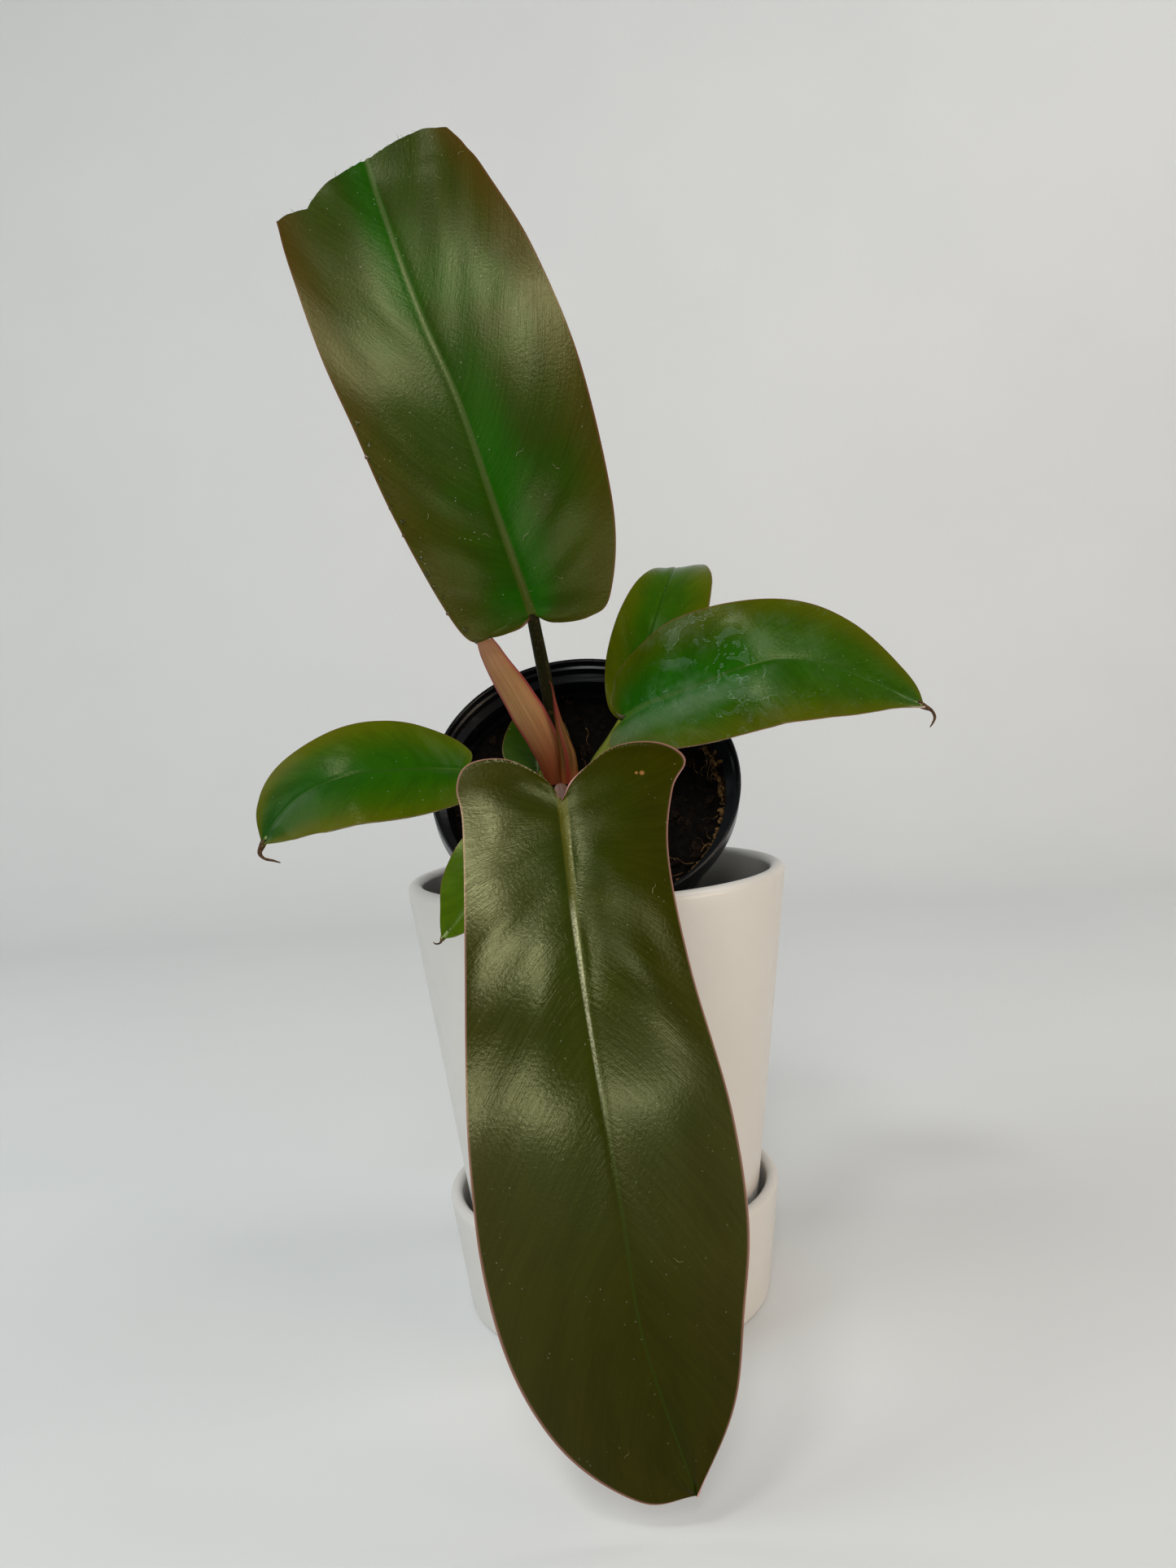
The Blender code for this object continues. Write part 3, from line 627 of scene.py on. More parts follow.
def bed_height(x, y):
    """The mix's height above its mean level: low heaps, lumps and crumbs. It sinks at the wall."""
    heaps = noise.noise(Vector((x, y, 3.0)) / (22 * MM)) * 1.6
    lumps = noise.fractal(Vector((x, y, 0.7)) / (5 * MM), 0.7, 2.1, 4) * 0.9
    edge = max(0.0, math.hypot(x, y) / bed_radius - 0.9) * 10
    return (heaps + lumps - 1.2 * edge) * MM


for vertex in bed.data.vertices:
    if vertex.co.z > -SOIL_DEPTH - 0.1 * MM:
        vertex.co.z += bed_height(vertex.co.x, vertex.co.y)
bed.matrix_world = nursery_place
settle(bed, "mix_bed", 60)

# %% [markdown]
# Bark chips and crumbs are small balls of a few faces, knocked out of shape by noise. So many of them need
# few faces each, and a copy made straight from the model's points is far quicker than an operator.

# %% Loose bark and crumbs
CHIPS = 240
CLINGING_CRUMBS = 110
CHIP_SIZES = (0.7 * MM, 2.4 * MM)
CRUMB_SIZES = (0.4 * MM, 1.3 * MM)
CLINGING_FROM = -60
CLINGING_TO = 28
rng = np.random.default_rng(7)


def model_crumb(name, jag, flat):
    """One crumb: a small ball of 80 faces, knocked out of shape and flattened."""
    start_fresh()
    bpy.ops.mesh.primitive_ico_sphere_add(subdivisions=2, radius=1)
    crumb = bpy.context.object
    for vertex in crumb.data.vertices:
        vertex.co *= 1 + jag * noise.noise(vertex.co * 1.7 + Vector((jag, flat, 4)))
    edit(crumb)
    bpy.ops.transform.resize(value=(1, 0.7, flat), center_override=(0, 0, 0))
    leave_edit()
    return settle(crumb, name, 30)


def strew(model, name, places, smooth=30):
    """Copies of a small model at the given matrices, joined into one piece with its own mesh."""
    corners = np.array([v.co[:] for v in model.data.vertices])
    faces = [list(face.vertices) for face in model.data.polygons]
    points = [corners @ np.array(m.to_3x3()).T + np.array(m.translation) for m in places]
    shifted = [[v + len(corners) * k for v in face] for k in range(len(places)) for face in faces]
    mesh = bpy.data.meshes.new(name)
    mesh.from_pydata(np.vstack(points).tolist(), [], shifted)
    joined = add_object(name, mesh)
    bpy.data.objects.remove(model)
    return settle(joined, name, smooth)


def any_twist():
    """A random turn about the upright axis."""
    return Matrix.Rotation(rng.uniform(0, 6.28), 4, "Z")


def any_turn(slope):
    """A twist and a tip sideways, up to a slope."""
    return any_twist() @ Matrix.Rotation(rng.uniform(-slope, slope), 4, "X")


def on_bed(size, lift=0.3):
    """A random place on the mix, turned at random, for a crumb of that size in metres."""
    radius = bed_radius * math.sqrt(rng.uniform(0, 0.93))
    angle = rng.uniform(0, 2 * math.pi)
    x, y = radius * math.cos(angle), radius * math.sin(angle)
    z = -SOIL_DEPTH + bed_height(x, y) + lift * size
    return nursery_place @ Matrix.Translation((x, y, z)) @ any_turn(0.7) @ Matrix.Scale(size, 4)


def on_wall(size):
    """A place on the inner wall just over the mix, on the side where old mix still clings."""
    angle = math.radians(rng.uniform(CLINGING_FROM, CLINGING_TO))
    depth = SOIL_DEPTH - abs(rng.normal(0, 2.6)) * MM - 0.5 * MM
    radius = nursery_outside(depth) - NURSERY_WALL - 0.25 * size
    place = (radius * math.cos(angle), radius * math.sin(angle), -depth)
    return nursery_place @ Matrix.Translation(place) @ any_turn(1.5) @ Matrix.Scale(size, 4)


chip_places = [on_bed(rng.uniform(*CHIP_SIZES)) for _ in range(CHIPS)]
bark = strew(model_crumb("chip", 0.9, 0.45), "bark_chips", chip_places, 25)
clinging_places = [on_wall(rng.uniform(*CRUMB_SIZES)) for _ in range(CLINGING_CRUMBS)]
clinging = strew(model_crumb("crumb", 0.7, 0.6), "clinging_crumbs", clinging_places, 25)

# %% [markdown]
# The finish of the mix is nearly black, since it is wet and in shade. Bark is redder, and the crumbs
# that dried on the wall are the palest.

# %% Earth and bark finishes


def earth(name, dark, light, scale, relief):
    """A dry, crumbly finish, from dark to light in grains of a scale."""
    crumb = Finish(name, roughness=0.92, specular_ior_level=0.08)
    at = crumb.place()
    tone = crumb.fade(crumb.noise(at, scale, detail=6.0, rough=0.7), 0.35, 0.72)
    grit = crumb.noise(at, scale * 5, detail=4.0)
    crumb.set(base_color=crumb.mix(tone, dark, light), normal=crumb.bump(grit, relief))
    return crumb.material


mix_finish = earth("peat", (0.0012, 0.0009, 0.0007), (0.007, 0.0042, 0.0025), 320.0, 0.5 * MM)
bark_finish = earth("bark", (0.0025, 0.0015, 0.001), (0.020, 0.010, 0.005), 420.0, 0.2 * MM)
clinging_finish = earth("dry_mix", (0.030, 0.015, 0.005), (0.20, 0.11, 0.04), 500.0, 0.1 * MM)
dress(bed, mix_finish, "potting_mix", "potting_mix")
dress(bark, bark_finish, "potting_mix")
dress(clinging, clinging_finish, "potting_mix")

# %% [markdown]
# The plant grows from its crown, where all stalks meet on a short stem. Its points are given in
# millimetres from there. A smooth curve through a few points (Catmull-Rom) gives each line its flow.

# %% Lines of growth
STEM_RADIUS = 5 * MM
CROWN_ABOVE_STEM = 1.05 * MM
CURVE_STEPS = 24

stem_low, stem_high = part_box("stem")
crown = Vector(((stem_low.x + stem_high.x) / 2, stem_low.y + STEM_RADIUS, stem_high.z + CROWN_ABOVE_STEM))
print("crown, mm:", [round(v / MM, 2) for v in crown])


def from_crown(points):
    """Points in millimetres from the crown, as an array in metres."""
    return np.array(points, float) * MM + np.array(crown)


def smooth_line(points, count):
    """Count + 1 points, evenly spaced, on a smooth curve through the given ones."""
    given = np.array(points, float)
    given = np.vstack([2 * given[0] - given[1], given, 2 * given[-1] - given[-2]])
    parts = []
    for a, b, c, d in zip(given, given[1:], given[2:], given[3:]):
        t = np.linspace(0, 1, CURVE_STEPS, endpoint=False)[:, None]
        cubic = (3 * b - a - 3 * c + d) * t**3 + (2 * a - 5 * b + 4 * c - d) * t**2 + (c - a) * t
        parts.append(b + 0.5 * cubic)
    dense = np.vstack([*parts, given[-2]])
    lengths = np.concatenate([[0], np.cumsum(np.linalg.norm(np.diff(dense, axis=0), axis=1))])
    even = np.linspace(0, lengths[-1], count + 1)
    return np.stack([np.interp(even, lengths, axis) for axis in dense.T], axis=-1)


def read_along(values, share):
    """Values taken as evenly spaced from 0 to 1, read at each share. Rows of vectors work too."""
    values = np.array(values, float)
    places = np.linspace(0, 1, len(values))
    if values.ndim == 1:
        return np.interp(share, places, values)
    return np.stack([np.interp(share, places, axis) for axis in values.T], axis=-1)


def oval(angle, wide, deep):
    """Places round an oval: how far to the side and how far to the front."""
    return wide * np.cos(angle), deep * np.sin(angle)


def unit(vectors):
    """The same directions, with a length of one."""
    return vectors / np.linalg.norm(vectors, axis=-1, keepdims=True)


# %% [markdown]
# Stalks, shoots and the stem are all grids rolled round a line. A flat grid already carries a map, across
# and along, so the finish can run its fibres lengthwise. Each point's place round the line comes from a
# section, which says how far out the skin is at an angle and a share of the length.

# %% Rolling a grid round a line


def carry(line, first_side):
    """The side and front directions along a line, carried on without twist."""
    tangents = unit(np.gradient(line, axis=0))
    side = np.array(first_side, float)
    sides = []
    for tangent in tangents:
        side = unit(side - tangent * side.dot(tangent))
        sides.append(side)
    sides = np.array(sides)
    return sides, np.cross(tangents, sides)


def lay_grid(name, columns, rows):
    """A flat grid with its map, and the share across and along of each vertex."""
    start_fresh()
    bpy.ops.mesh.primitive_grid_add(x_subdivisions=columns, y_subdivisions=rows, size=1)
    sheet = bpy.context.object
    sheet.name = name
    sheet.data.uv_layers[0].name = "vein_map"
    flat = np.empty(len(sheet.data.vertices) * 3)
    sheet.data.vertices.foreach_get("co", flat)
    flat = flat.reshape(-1, 3)
    return sheet, flat[:, 0] + 0.5, flat[:, 1] + 0.5


def put_points(obj, points):
    """Moves all vertices of an object to new places."""
    obj.data.vertices.foreach_set("co", np.asarray(points, float).ravel())
    obj.data.update()


def roll(name, route, section, columns=32, rows=80, first_side=(1, 0, 0)):
    """A closed tube. section(angle, share) gives how far the skin lies to the side and to the front."""
    sheet, across, along = lay_grid(name, columns, rows)
    line = smooth_line(route, rows)
    sides, fronts = carry(line, first_side)
    row = np.rint(along * rows).astype(int)
    to_side, to_front = section(2 * np.pi * across, along)
    put_points(sheet, line[row] + sides[row] * to_side[:, None] + fronts[row] * to_front[:, None])
    close_up(sheet)
    return settle(sheet, name, 60)


# %% [markdown]
# Fine roots lie on the mix and cling to the wall with the crumbs. One curved thread is modelled, a thin
# tube of few faces, and its copies are turned, stretched and joined.

# %% Roots
ROOTS = 46
ROOT_LENGTHS = (4 * MM, 9 * MM)
THREAD_ROUTE = [(0, 0, 0), (0.35, 0.12, 0.05), (0.7, -0.05, 0.02), (1, 0.1, -0.05)]


def model_thread(name, thickness):
    """A thread about one unit long, and as thick as that share of its length."""
    def section(angle, share):
        radius = thickness / 2 * (1 - 0.7 * share)
        return oval(angle, radius, radius)
    return roll(name, THREAD_ROUTE, section, 6, 7, (0, 1, 0))


root_places = [on_wall(rng.uniform(*ROOT_LENGTHS)) for _ in range(ROOTS // 2)]
root_places += [on_bed(rng.uniform(*ROOT_LENGTHS), 0.1) for _ in range(ROOTS // 2)]
roots = strew(model_thread("thread", 0.05), "roots", root_places, 60)
dress(roots, clinging_finish, "potting_mix")

# %% [markdown]
# The stem is a stub with the scars of old leaves round it, hidden among the stalk bases.

# %% Stem
def scarred(angle, share):
    """The stem's section, with a ring at each old leaf's scar."""
    radius = read_along([4.2, 5.0, 5.0, 4.9, 4.2], share) * MM
    rings = 0.25 * MM * np.sin(2 * np.pi * share * 9) + 0.15 * MM * np.sin(5 * angle + 11 * share)
    radius = radius + rings * (share > 0.2)
    return oval(angle, radius, radius)


CROWN_OUT = 6 * MM
CROWN_RISE = 9 * MM
STEM_BURIED = 14 * MM
axis = np.array(pot_axis)
up = np.array((0, 0, 1.0))
foot = np.array(crown) - up * CROWN_RISE - axis * CROWN_OUT
stem_route = [foot - axis * STEM_BURIED, foot, foot + axis * 0.8 * CROWN_OUT + up * 0.2 * CROWN_RISE]
stem_route.append(np.array(crown) - up * 1.4 * MM)
stem_stub = roll("stem_stub", stem_route, scarred, 32, 60)
stem_finish = earth("stem_skin", (0.05, 0.028, 0.010), (0.16, 0.10, 0.035), 160.0, 0.2 * MM)
dress(stem_stub, stem_finish, "potting_mix", "stem")

# %% [markdown]
# A stalk has a broad back and a shallow channel along its upper side, and it widens where it clasps
# the stem. It is firm and a little waxy, streaked and freckled lengthwise.

# %% Stalks
STALKS = {
    "upright": dict(route=[(0.3, 3.2, 0.2), (-1.5, 1.5, 19), (-4, -5, 39), (-6, -13, 55), (-6.5, -15, 59.5)],
                    radii=(2.7, 2.4, 2.25, 2.1, 1.9), finish="dark_stalk"),
    "front": dict(route=[(0, -8.2, -5), (0, -20, -0.5), (0, -45, 2.5), (0.5, -64, 1), (1, -73, -0.8)],
                  radii=(2.5, 2.1, 1.8, 1.6, 1.5), finish="red_stalk"),
    "left": dict(route=[(-8, -0.8, -2.5), (-14, -9, 4), (-23, -19, 7), (-31, -27, 8)],
                 radii=(2.4, 2.1, 1.8, 1.4), finish="green_stalk"),
    "right": dict(route=[(8.8, -0.5, -3), (12.5, 3, 6), (18, 5.5, 14), (22.3, 5.2, 21.2)],
                  radii=(3.3, 3.0, 2.4, 1.7), finish="green_stalk"),
    "back": dict(route=[(5.2, 6.2, 1), (12, 11, 6), (19, 14.5, 14), (24.9, 14.8, 22.2)],
                 radii=(2.4, 2.1, 1.8, 1.4), finish="green_stalk"),
    "small": dict(route=[(-5.6, -6.4, -5), (-7.5, -22, 2), (-10, -42, 0), (-13.5, -54.8, -8.8)],
                  radii=(2.3, 2.0, 1.7, 1.3), finish="green_stalk"),
    "inner": dict(route=[(-5.2, 5.2, -1), (-6.8, 7.6, 2), (-7.9, 9.2, 5.2)],
                  radii=(1.7, 1.5, 1.2), finish="green_stalk"),
}


def stalk_section(radii):
    """The section of a stalk: broad, with a channel down its upper side."""
    def section(angle, share):
        radius = read_along(radii, share) * MM
        channel = 1 - 0.16 * np.exp(-(((angle - 1.5 * np.pi) / 0.45) ** 2))
        return oval(angle, 1.08 * radius * channel, 0.94 * radius * channel)
    return section


def stalk_finish(name, pale, deep, base, freckle):
    """A streaked, freckled stalk: pale and deep run lengthwise in fibres, and base colours its foot."""
    stalk = Finish(name, specular_ior_level=0.13, specular_tint=(1.0, 0.97, 0.6))
    along = stalk.split(stalk.map())[1]
    fibre = stalk.grain(26, 2.2)
    freckles = stalk.fade(stalk.noise(stalk.place(), 900.0, detail=2.0), 0.56, 0.68)
    stalk.tone = stalk.mix(stalk.fade(fibre, 0.3, 0.7), deep, pale)
    stalk.paint(stalk.times(freckles, freckle), (0.045, 0.030, 0.008))
    stalk.paint(stalk.fade(along, 0.0, 0.35, 1.0, 0.0), base)
    stalk.set(base_color=stalk.tone, roughness=stalk.fade(fibre, 0.2, 0.8, 0.38, 0.52))
    stalk.set(normal=stalk.bump(fibre, 0.12 * MM))
    return stalk.material


STALK_LOOKS = {
    "dark_stalk": ((0.009, 0.008, 0.001), (0.003, 0.003, 0.0005), (0.012, 0.007, 0.002), 0.5),
    "red_stalk": ((0.19, 0.10, 0.085), (0.11, 0.060, 0.042), (0.12, 0.05, 0.02), 0.3),
    "green_stalk": ((0.155, 0.175, 0.016), (0.090, 0.110, 0.009), (0.16, 0.12, 0.02), 0.3),
}
stalk_materials = {name: stalk_finish(name, *look) for name, look in STALK_LOOKS.items()}
for name, stalk in STALKS.items():
    piece = roll(name + "_petiole", from_crown(stalk["route"]), stalk_section(stalk["radii"]), 32, 60)
    dress(piece, stalk_materials[stalk["finish"]], stalk["finish"], name + "_stalk")

# %% [markdown]
# A blade is drawn flat first, as a paper pattern: a midrib, and an outline for each half as distances out
# from it and along it. Then it is bent: the midrib follows its own line through the air, the halves fold
# up or down from it, and they curl across. A grid is laid so that its rows run as the side veins do, from
# the midrib outwards and forwards. Relief and finish can then follow the veins.

# %% Leaf patterns
LEAVES = {
    "upright": dict(
        midrib=[(-6.5, -16, 59), (-15.5, -18, 91), (-26, -18, 129), (-37, -16, 159), (-48.5, -10, 197),
                (-52, -7, 210)],
        faces=[(0, -1, 0), (0, -1, 0.1), (0.05, -1, 0.15)],
        left=[(6, -3), (15, -3), (24, 1), (31, 34), (35, 70), (35, 130)],
        right=[(6, -5), (18, -7), (27, -2), (37, 25), (42, 77), (42, 115), (36.3, 145), (33, 156)],
        torn=[(-34, 148), (-31, 149.2), (-22.5, 149.3), (-21, 151), (-14.3, 155.5), (-7.3, 158.6),
              (-2.8, 160), (1.9, 161), (6.3, 162.4), (8.9, 163.3), (14.1, 164.6), (20.9, 165.7),
              (25, 164.6), (29, 163.6)],
        fold=(8, 4), curl=(-2, -2), lean=0.22, waves=(0.5, 2.6, 0.4), rib=(1.7, 0.9),
    ),
    "front": dict(
        midrib=[(1, -74, 1), (3.5, -96, -36), (7, -108, -70), (11, -114, -105), (14.5, -116, -137),
                (26, -114, -181)],
        faces=[(0, -0.8, 0.5), (0, -1, 0.35), (-0.05, -1, 0.3), (-0.15, -1, 0.3)],
        left=[(5, -7), (17, -15), (30, -15), (37, -9), (32, 0), (28, 20), (29, 55), (33, 95), (31, 130),
              (20, 167)],
        right=[(5, -8), (15, -15), (26, -15), (30, -8), (29, 5), (31, 45), (37, 95), (38, 130), (30, 168),
               (15, 190)],
        fold=(6, 3), curl=(-3, -3), lean=0.05, waves=(0.6, 2.2, 0.1), rib=(1.7, 0.35),
    ),
    "left": dict(
        midrib=[(-31.5, -28, 9), (-42.5, -34, 10.5), (-54.5, -38, 11), (-67.5, -41, 10), (-80.5, -42, 5.5),
                (-89.5, -42, -2), (-95, -41, -10)],
        faces=[(0.1, -0.75, 0.66), (0, -0.8, 0.6), (-0.1, -0.85, 0.55), (-0.2, -0.9, 0.45)],
        left=[(4, -4), (10, -3), (15, 6), (19, 20), (19, 36), (16, 53), (9, 66)],
        right=[(3, -3), (8, -4), (14, 3), (18, 18), (19, 32), (16, 48), (10, 63)],
        fold=(10, 6), curl=(-6, -6), waves=(0.3, 2.0, 0.3), rib=(1.1, 0.25),
    ),
    "right": dict(
        midrib=[(23.5, 4, 23), (31.5, 2, 27), (47.5, -2, 32), (64.5, -6, 37.8), (78.5, -8, 39.3),
                (95, -10, 35.6), (112.5, -12, 27.3), (123.5, -13, 20.5)],
        faces=[(0, -0.85, 0.5), (0, -0.88, 0.48), (0, -0.9, 0.45), (0.1, -0.9, 0.4)],
        left=[(4, -3), (10, -1), (19, 8), (26, 20), (27, 32), (24, 52), (21, 68), (14, 86), (6, 102)],
        right=[(3, -7), (9, -9), (17, -2), (20.5, 12), (23.5, 32), (25, 50), (23, 68), (16.5, 85), (7, 99)],
        fold=(10, 6), curl=(-5, -5), waves=(0.35, 2.4, 0.6), rib=(1.4, 0.3),
    ),
    "back": dict(
        midrib=[(25.4, 14, 23.3), (28.8, 15, 34.3), (32.7, 18, 46), (37.5, 23, 59), (42.5, 31, 70.5),
                (46.5, 42, 77), (49, 54, 77.5), (50.5, 64, 72)],
        faces=[(-0.3, -0.95, 0.2), (-0.3, -0.9, 0.3), (-0.25, -0.75, 0.6), (-0.05, -0.25, 1),
               (0.05, 0.25, 1)],
        left=[(5, -2), (10, 4), (14, 18), (15, 34), (13, 50), (8.5, 66), (4, 80)],
        right=[(5, -5), (12, -2), (17, 16), (20, 36), (18, 52), (14, 63), (9, 73), (4, 82)],
        fold=(10, 6), curl=(-5, -5), waves=(0.3, 2.0, 0.0), rib=(1.2, 0.3),
    ),
    "small": dict(
        midrib=[(-14, -56, -9), (-23, -62, -20), (-31, -65, -31), (-37.5, -64, -39)],
        faces=[(-0.2, -0.8, 0.5), (-0.3, -0.9, 0.35), (-0.3, -1, 0.2)],
        left=[(4, -3), (9, 0), (11, 10), (9, 24), (4, 34)],
        right=[(4, -3), (10, 0), (13, 10), (11, 24), (5, 34)],
        fold=(8, 6), curl=(-5, -5), waves=(0.15, 2.0, 0.2), rib=(0.9, 0.25),
    ),
    "inner": dict(
        midrib=[(-8, 9, 6), (-8.5, 15, 14), (-9, 20, 23), (-9, 23, 31)],
        faces=[(0, -0.8, 0.5), (0, -0.9, 0.4)],
        left=[(5, -3), (12, 2), (13, 10), (9, 20)],
        right=[(5, -3), (11, 2), (12, 10), (9, 20)],
        fold=(14, 8), curl=(4, 4), waves=(0.15, 2.0, 0.5), rib=(0.8, 0.25),
    ),
}

# %% [markdown]
# The same two steps serve every leaf, so they are kept together: flat() lays a place on the paper pattern,
# and bend() carries it into the air. Waves along the margins, low swells between the veins and the groove
# over the midrib are then added along the skin's own direction, as a real blade would buckle.

# %% From flat pattern to the air
MIDRIB_STEPS = 120
OUTLINE_STEPS = 400
VEIN_LEAN = 2.1
VEIN_BOW = 1.2
SWELLS = 11
SWELL_DEPTH = 0.0042


def smooth_step(low, high, values):
    """Rises smoothly from 0 at low to 1 at high."""
    t = np.clip((values - low) / (high - low), 0, 1)
    return t * t * (3 - 2 * t)


class Blade:
    """A leaf's flat pattern and its way through the air."""

    def __init__(self, pattern):
        self.pattern = pattern
        self.line = smooth_line(from_crown(pattern["midrib"]), MIDRIB_STEPS)
        self.lengths = np.concatenate([[0], np.cumsum(np.linalg.norm(np.diff(self.line, axis=0), axis=1))])
        self.length = self.lengths[-1]
        self.normals = smooth_line(pattern["faces"], MIDRIB_STEPS)
        self.tangents = np.gradient(self.line, self.lengths, axis=0)
        torn = pattern.get("torn")
        self.edges = []
        for side, corner in (("left", 0), ("right", -1)):
            last = (abs(torn[corner][0]), torn[corner][1]) if torn else (0, self.length / MM)
            self.edges.append(smooth_line([(0, 0), *pattern[side], last], OUTLINE_STEPS) * MM)

    def flat(self, across, vein):
        """Flat places, out and along, from -1 to 1 across and from 0 to 1 over the veins."""
        reach = np.abs(across)
        rows = np.linspace(0, 1, OUTLINE_STEPS + 1)
        out, along = np.zeros_like(reach), np.zeros_like(reach)
        start = self.length * vein**VEIN_LEAN
        for sign, edge in zip((-1, 1), self.edges):
            here = across < 0 if sign < 0 else across >= 0
            edge_out = np.interp(vein, rows, edge[:, 0])
            edge_along = np.interp(vein, rows, edge[:, 1])
            out = np.where(here, sign * edge_out * reach, out)
            along = np.where(here, start + (edge_along - start) * reach**VEIN_BOW, along)
        if "torn" in self.pattern:
            tear_out, tear_along = np.array(self.pattern["torn"]).T * MM
            whole = [edge[-1, 1] for edge in self.edges]
            drawn = self.length + (np.where(across < 0, *whole) - self.length) * reach**VEIN_BOW
            jags = [noise.noise(Vector((x / (1.4 * MM), 0, 0))) * 0.5 * MM for x in out]
            pull = np.interp(out, tear_out, tear_along) - drawn
            along += pull * smooth_step(0.6, 1, vein) + np.array(jags) * smooth_step(0.985, 1, vein)
        return out, along

    def bend(self, out, along, lift=0.0):
        """Places in the air, and the normals there, of flat places, lifted off the blade's middle."""
        inside = np.clip(along, 0, self.length)

        def read(rows):
            return np.stack([np.interp(inside, self.lengths, axis) for axis in rows.T], axis=-1)

        point, tangent, normal = read(self.line), unit(read(self.tangents)), read(self.normals)
        normal = unit(normal - tangent * (normal * tangent).sum(-1, keepdims=True))
        side = np.cross(tangent, normal)
        share = inside / self.length
        fold = np.radians(np.interp(share, (0, 1), self.pattern["fold"]))
        curl = np.radians(np.interp(share, (0, 1), self.pattern["curl"])) / (10 * MM)
        width = np.abs(out)
        turned = fold + curl * width
        across = (np.sin(turned) - np.sin(fold)) / curl
        raised = (np.cos(fold) - np.cos(turned)) / curl
        skin = unit(normal * np.cos(turned)[:, None] - side * (np.sign(out) * np.sin(turned))[:, None])
        place = point + tangent * (along - inside)[:, None]
        place += side * (np.sign(out) * across)[:, None] + normal * raised[:, None]
        return place + skin * np.asarray(lift).reshape(-1, 1), skin

    def leaned(self, across, vein):
        """The share along, pulled back towards the edge where the veins lean further than the rows."""
        return vein - self.pattern.get("lean", 0) * np.abs(across) ** 1.3 * smooth_step(0.15, 0.9, vein)

    def relief(self, out, across, vein):
        """How far the upper skin stands from the smooth blade: waves, swells between veins, the midrib."""
        reach = np.abs(across)
        size, count, phase = self.pattern["waves"]
        waves = size * MM * np.sin(2 * np.pi * (vein * count + phase + 0.2 * (across > 0))) * reach**2
        places = zip(self.leaned(across, vein) * SWELLS, across * 1.6)
        rolls = np.array([noise.noise(Vector((row, side, self.length))) for row, side in places])
        swells = SWELL_DEPTH * self.length * rolls * np.sin(np.pi * np.clip(reach, 0.03, 1)) ** 0.7
        rib = np.interp(vein, (0, 1), self.pattern["rib"]) * MM
        groove = -0.35 * MM * np.exp(-((out / (1.5 * rib)) ** 2)) * (1 - 0.6 * vein)
        ridge = 0.16 * MM * np.exp(-((out / (0.55 * rib)) ** 4)) * (1 - 0.5 * vein)
        return waves + swells + groove + ridge

    def upper_skin(self, across, vein, above=0.0):
        """Places on the upper skin, or above it, and the normals there."""
        out, along = self.flat(across, vein)
        return self.bend(out, along, BLADE_THICKNESS / 2 + self.relief(out, across, vein) + above)


# %% [markdown]
# Each blade starts as one grid. Its columns crowd towards the midrib, where the relief is finest, and its
# places are kept as two maps for the finish. Solidify then gives it a thickness, with an underside and a
# rim of their own, and the midrib's keel is pushed out below.

# %% Blades
BLADE_ROWS = 190
BLADE_COLUMNS = 26
BLADE_THICKNESS = 0.6 * MM
LAST_COLUMN = 0.985
MAP_UNIT = 100 * MM
BLADE_SIDES = ("upper", "under", "margin")
blades = {name: Blade(pattern) for name, pattern in LEAVES.items()}


def write_map(sheet, name, *rows):
    """Gives a mesh a map, from two values at each of its vertices."""
    loops = np.empty(len(sheet.data.loops), int)
    sheet.data.loops.foreach_get("vertex_index", loops)
    layer = sheet.data.uv_layers.get(name) or sheet.data.uv_layers.new(name=name)
    layer.data.foreach_set("uv", np.stack(rows, axis=-1)[loops].ravel())


def build_blade(name, blade):
    """Lays the grid, bends it, thickens it, and raises the midrib's keel on its underside."""
    sheet, u, v = lay_grid(name + "_blade", 2 * BLADE_COLUMNS, BLADE_ROWS)
    step = np.abs(2 * u - 1) * BLADE_COLUMNS
    reach = np.where(step > BLADE_COLUMNS - 0.5, 1, LAST_COLUMN * (step / (BLADE_COLUMNS - 1)) ** 1.35)
    across = np.sign(u - 0.5) * reach
    put_points(sheet, blade.upper_skin(across, v)[0])
    write_map(sheet, "vein_map", 0.5 + across / 2, blade.leaned(across, v))
    write_map(sheet, "flat_map", *(place / MAP_UNIT for place in blade.flat(across, v)))
    merge_doubles(sheet)
    upper_count = len(sheet.data.vertices)
    for _ in BLADE_SIDES:
        sheet.data.materials.append(None)
    settings = dict(thickness=BLADE_THICKNESS, offset=-1, material_offset=1, material_offset_rim=2)
    apply_modifier(sheet, "SOLIDIFY", **settings)
    raise_keel(sheet, blade, upper_count)
    return settle(sheet, name + "_blade", 60)


def raise_keel(sheet, blade, upper_count):
    """Pushes the underside out under the midrib."""
    points = np.array([vertex.co[:] for vertex in sheet.data.vertices])
    lower = points[upper_count:]
    near = np.abs(lower[:, None, :] - blade.line[None, :, :]).sum(-1).argmin(1)
    tangent = unit(blade.tangents[near])
    normal = blade.normals[near]
    normal = unit(normal - tangent * (normal * tangent).sum(-1, keepdims=True))
    beside = ((lower - blade.line[near]) * np.cross(tangent, normal)).sum(-1)
    share = blade.lengths[near] / blade.length
    rib = np.interp(share, (0, 1), blade.pattern["rib"]) * MM
    depth = rib * 0.9 * np.exp(-((beside / rib) ** 2))
    points[upper_count:] = lower - normal * depth[:, None]
    put_points(sheet, points)


pieces = {name: build_blade(name, blade) for name, blade in blades.items()}
print({name: len(piece.data.vertices) for name, piece in pieces.items()})

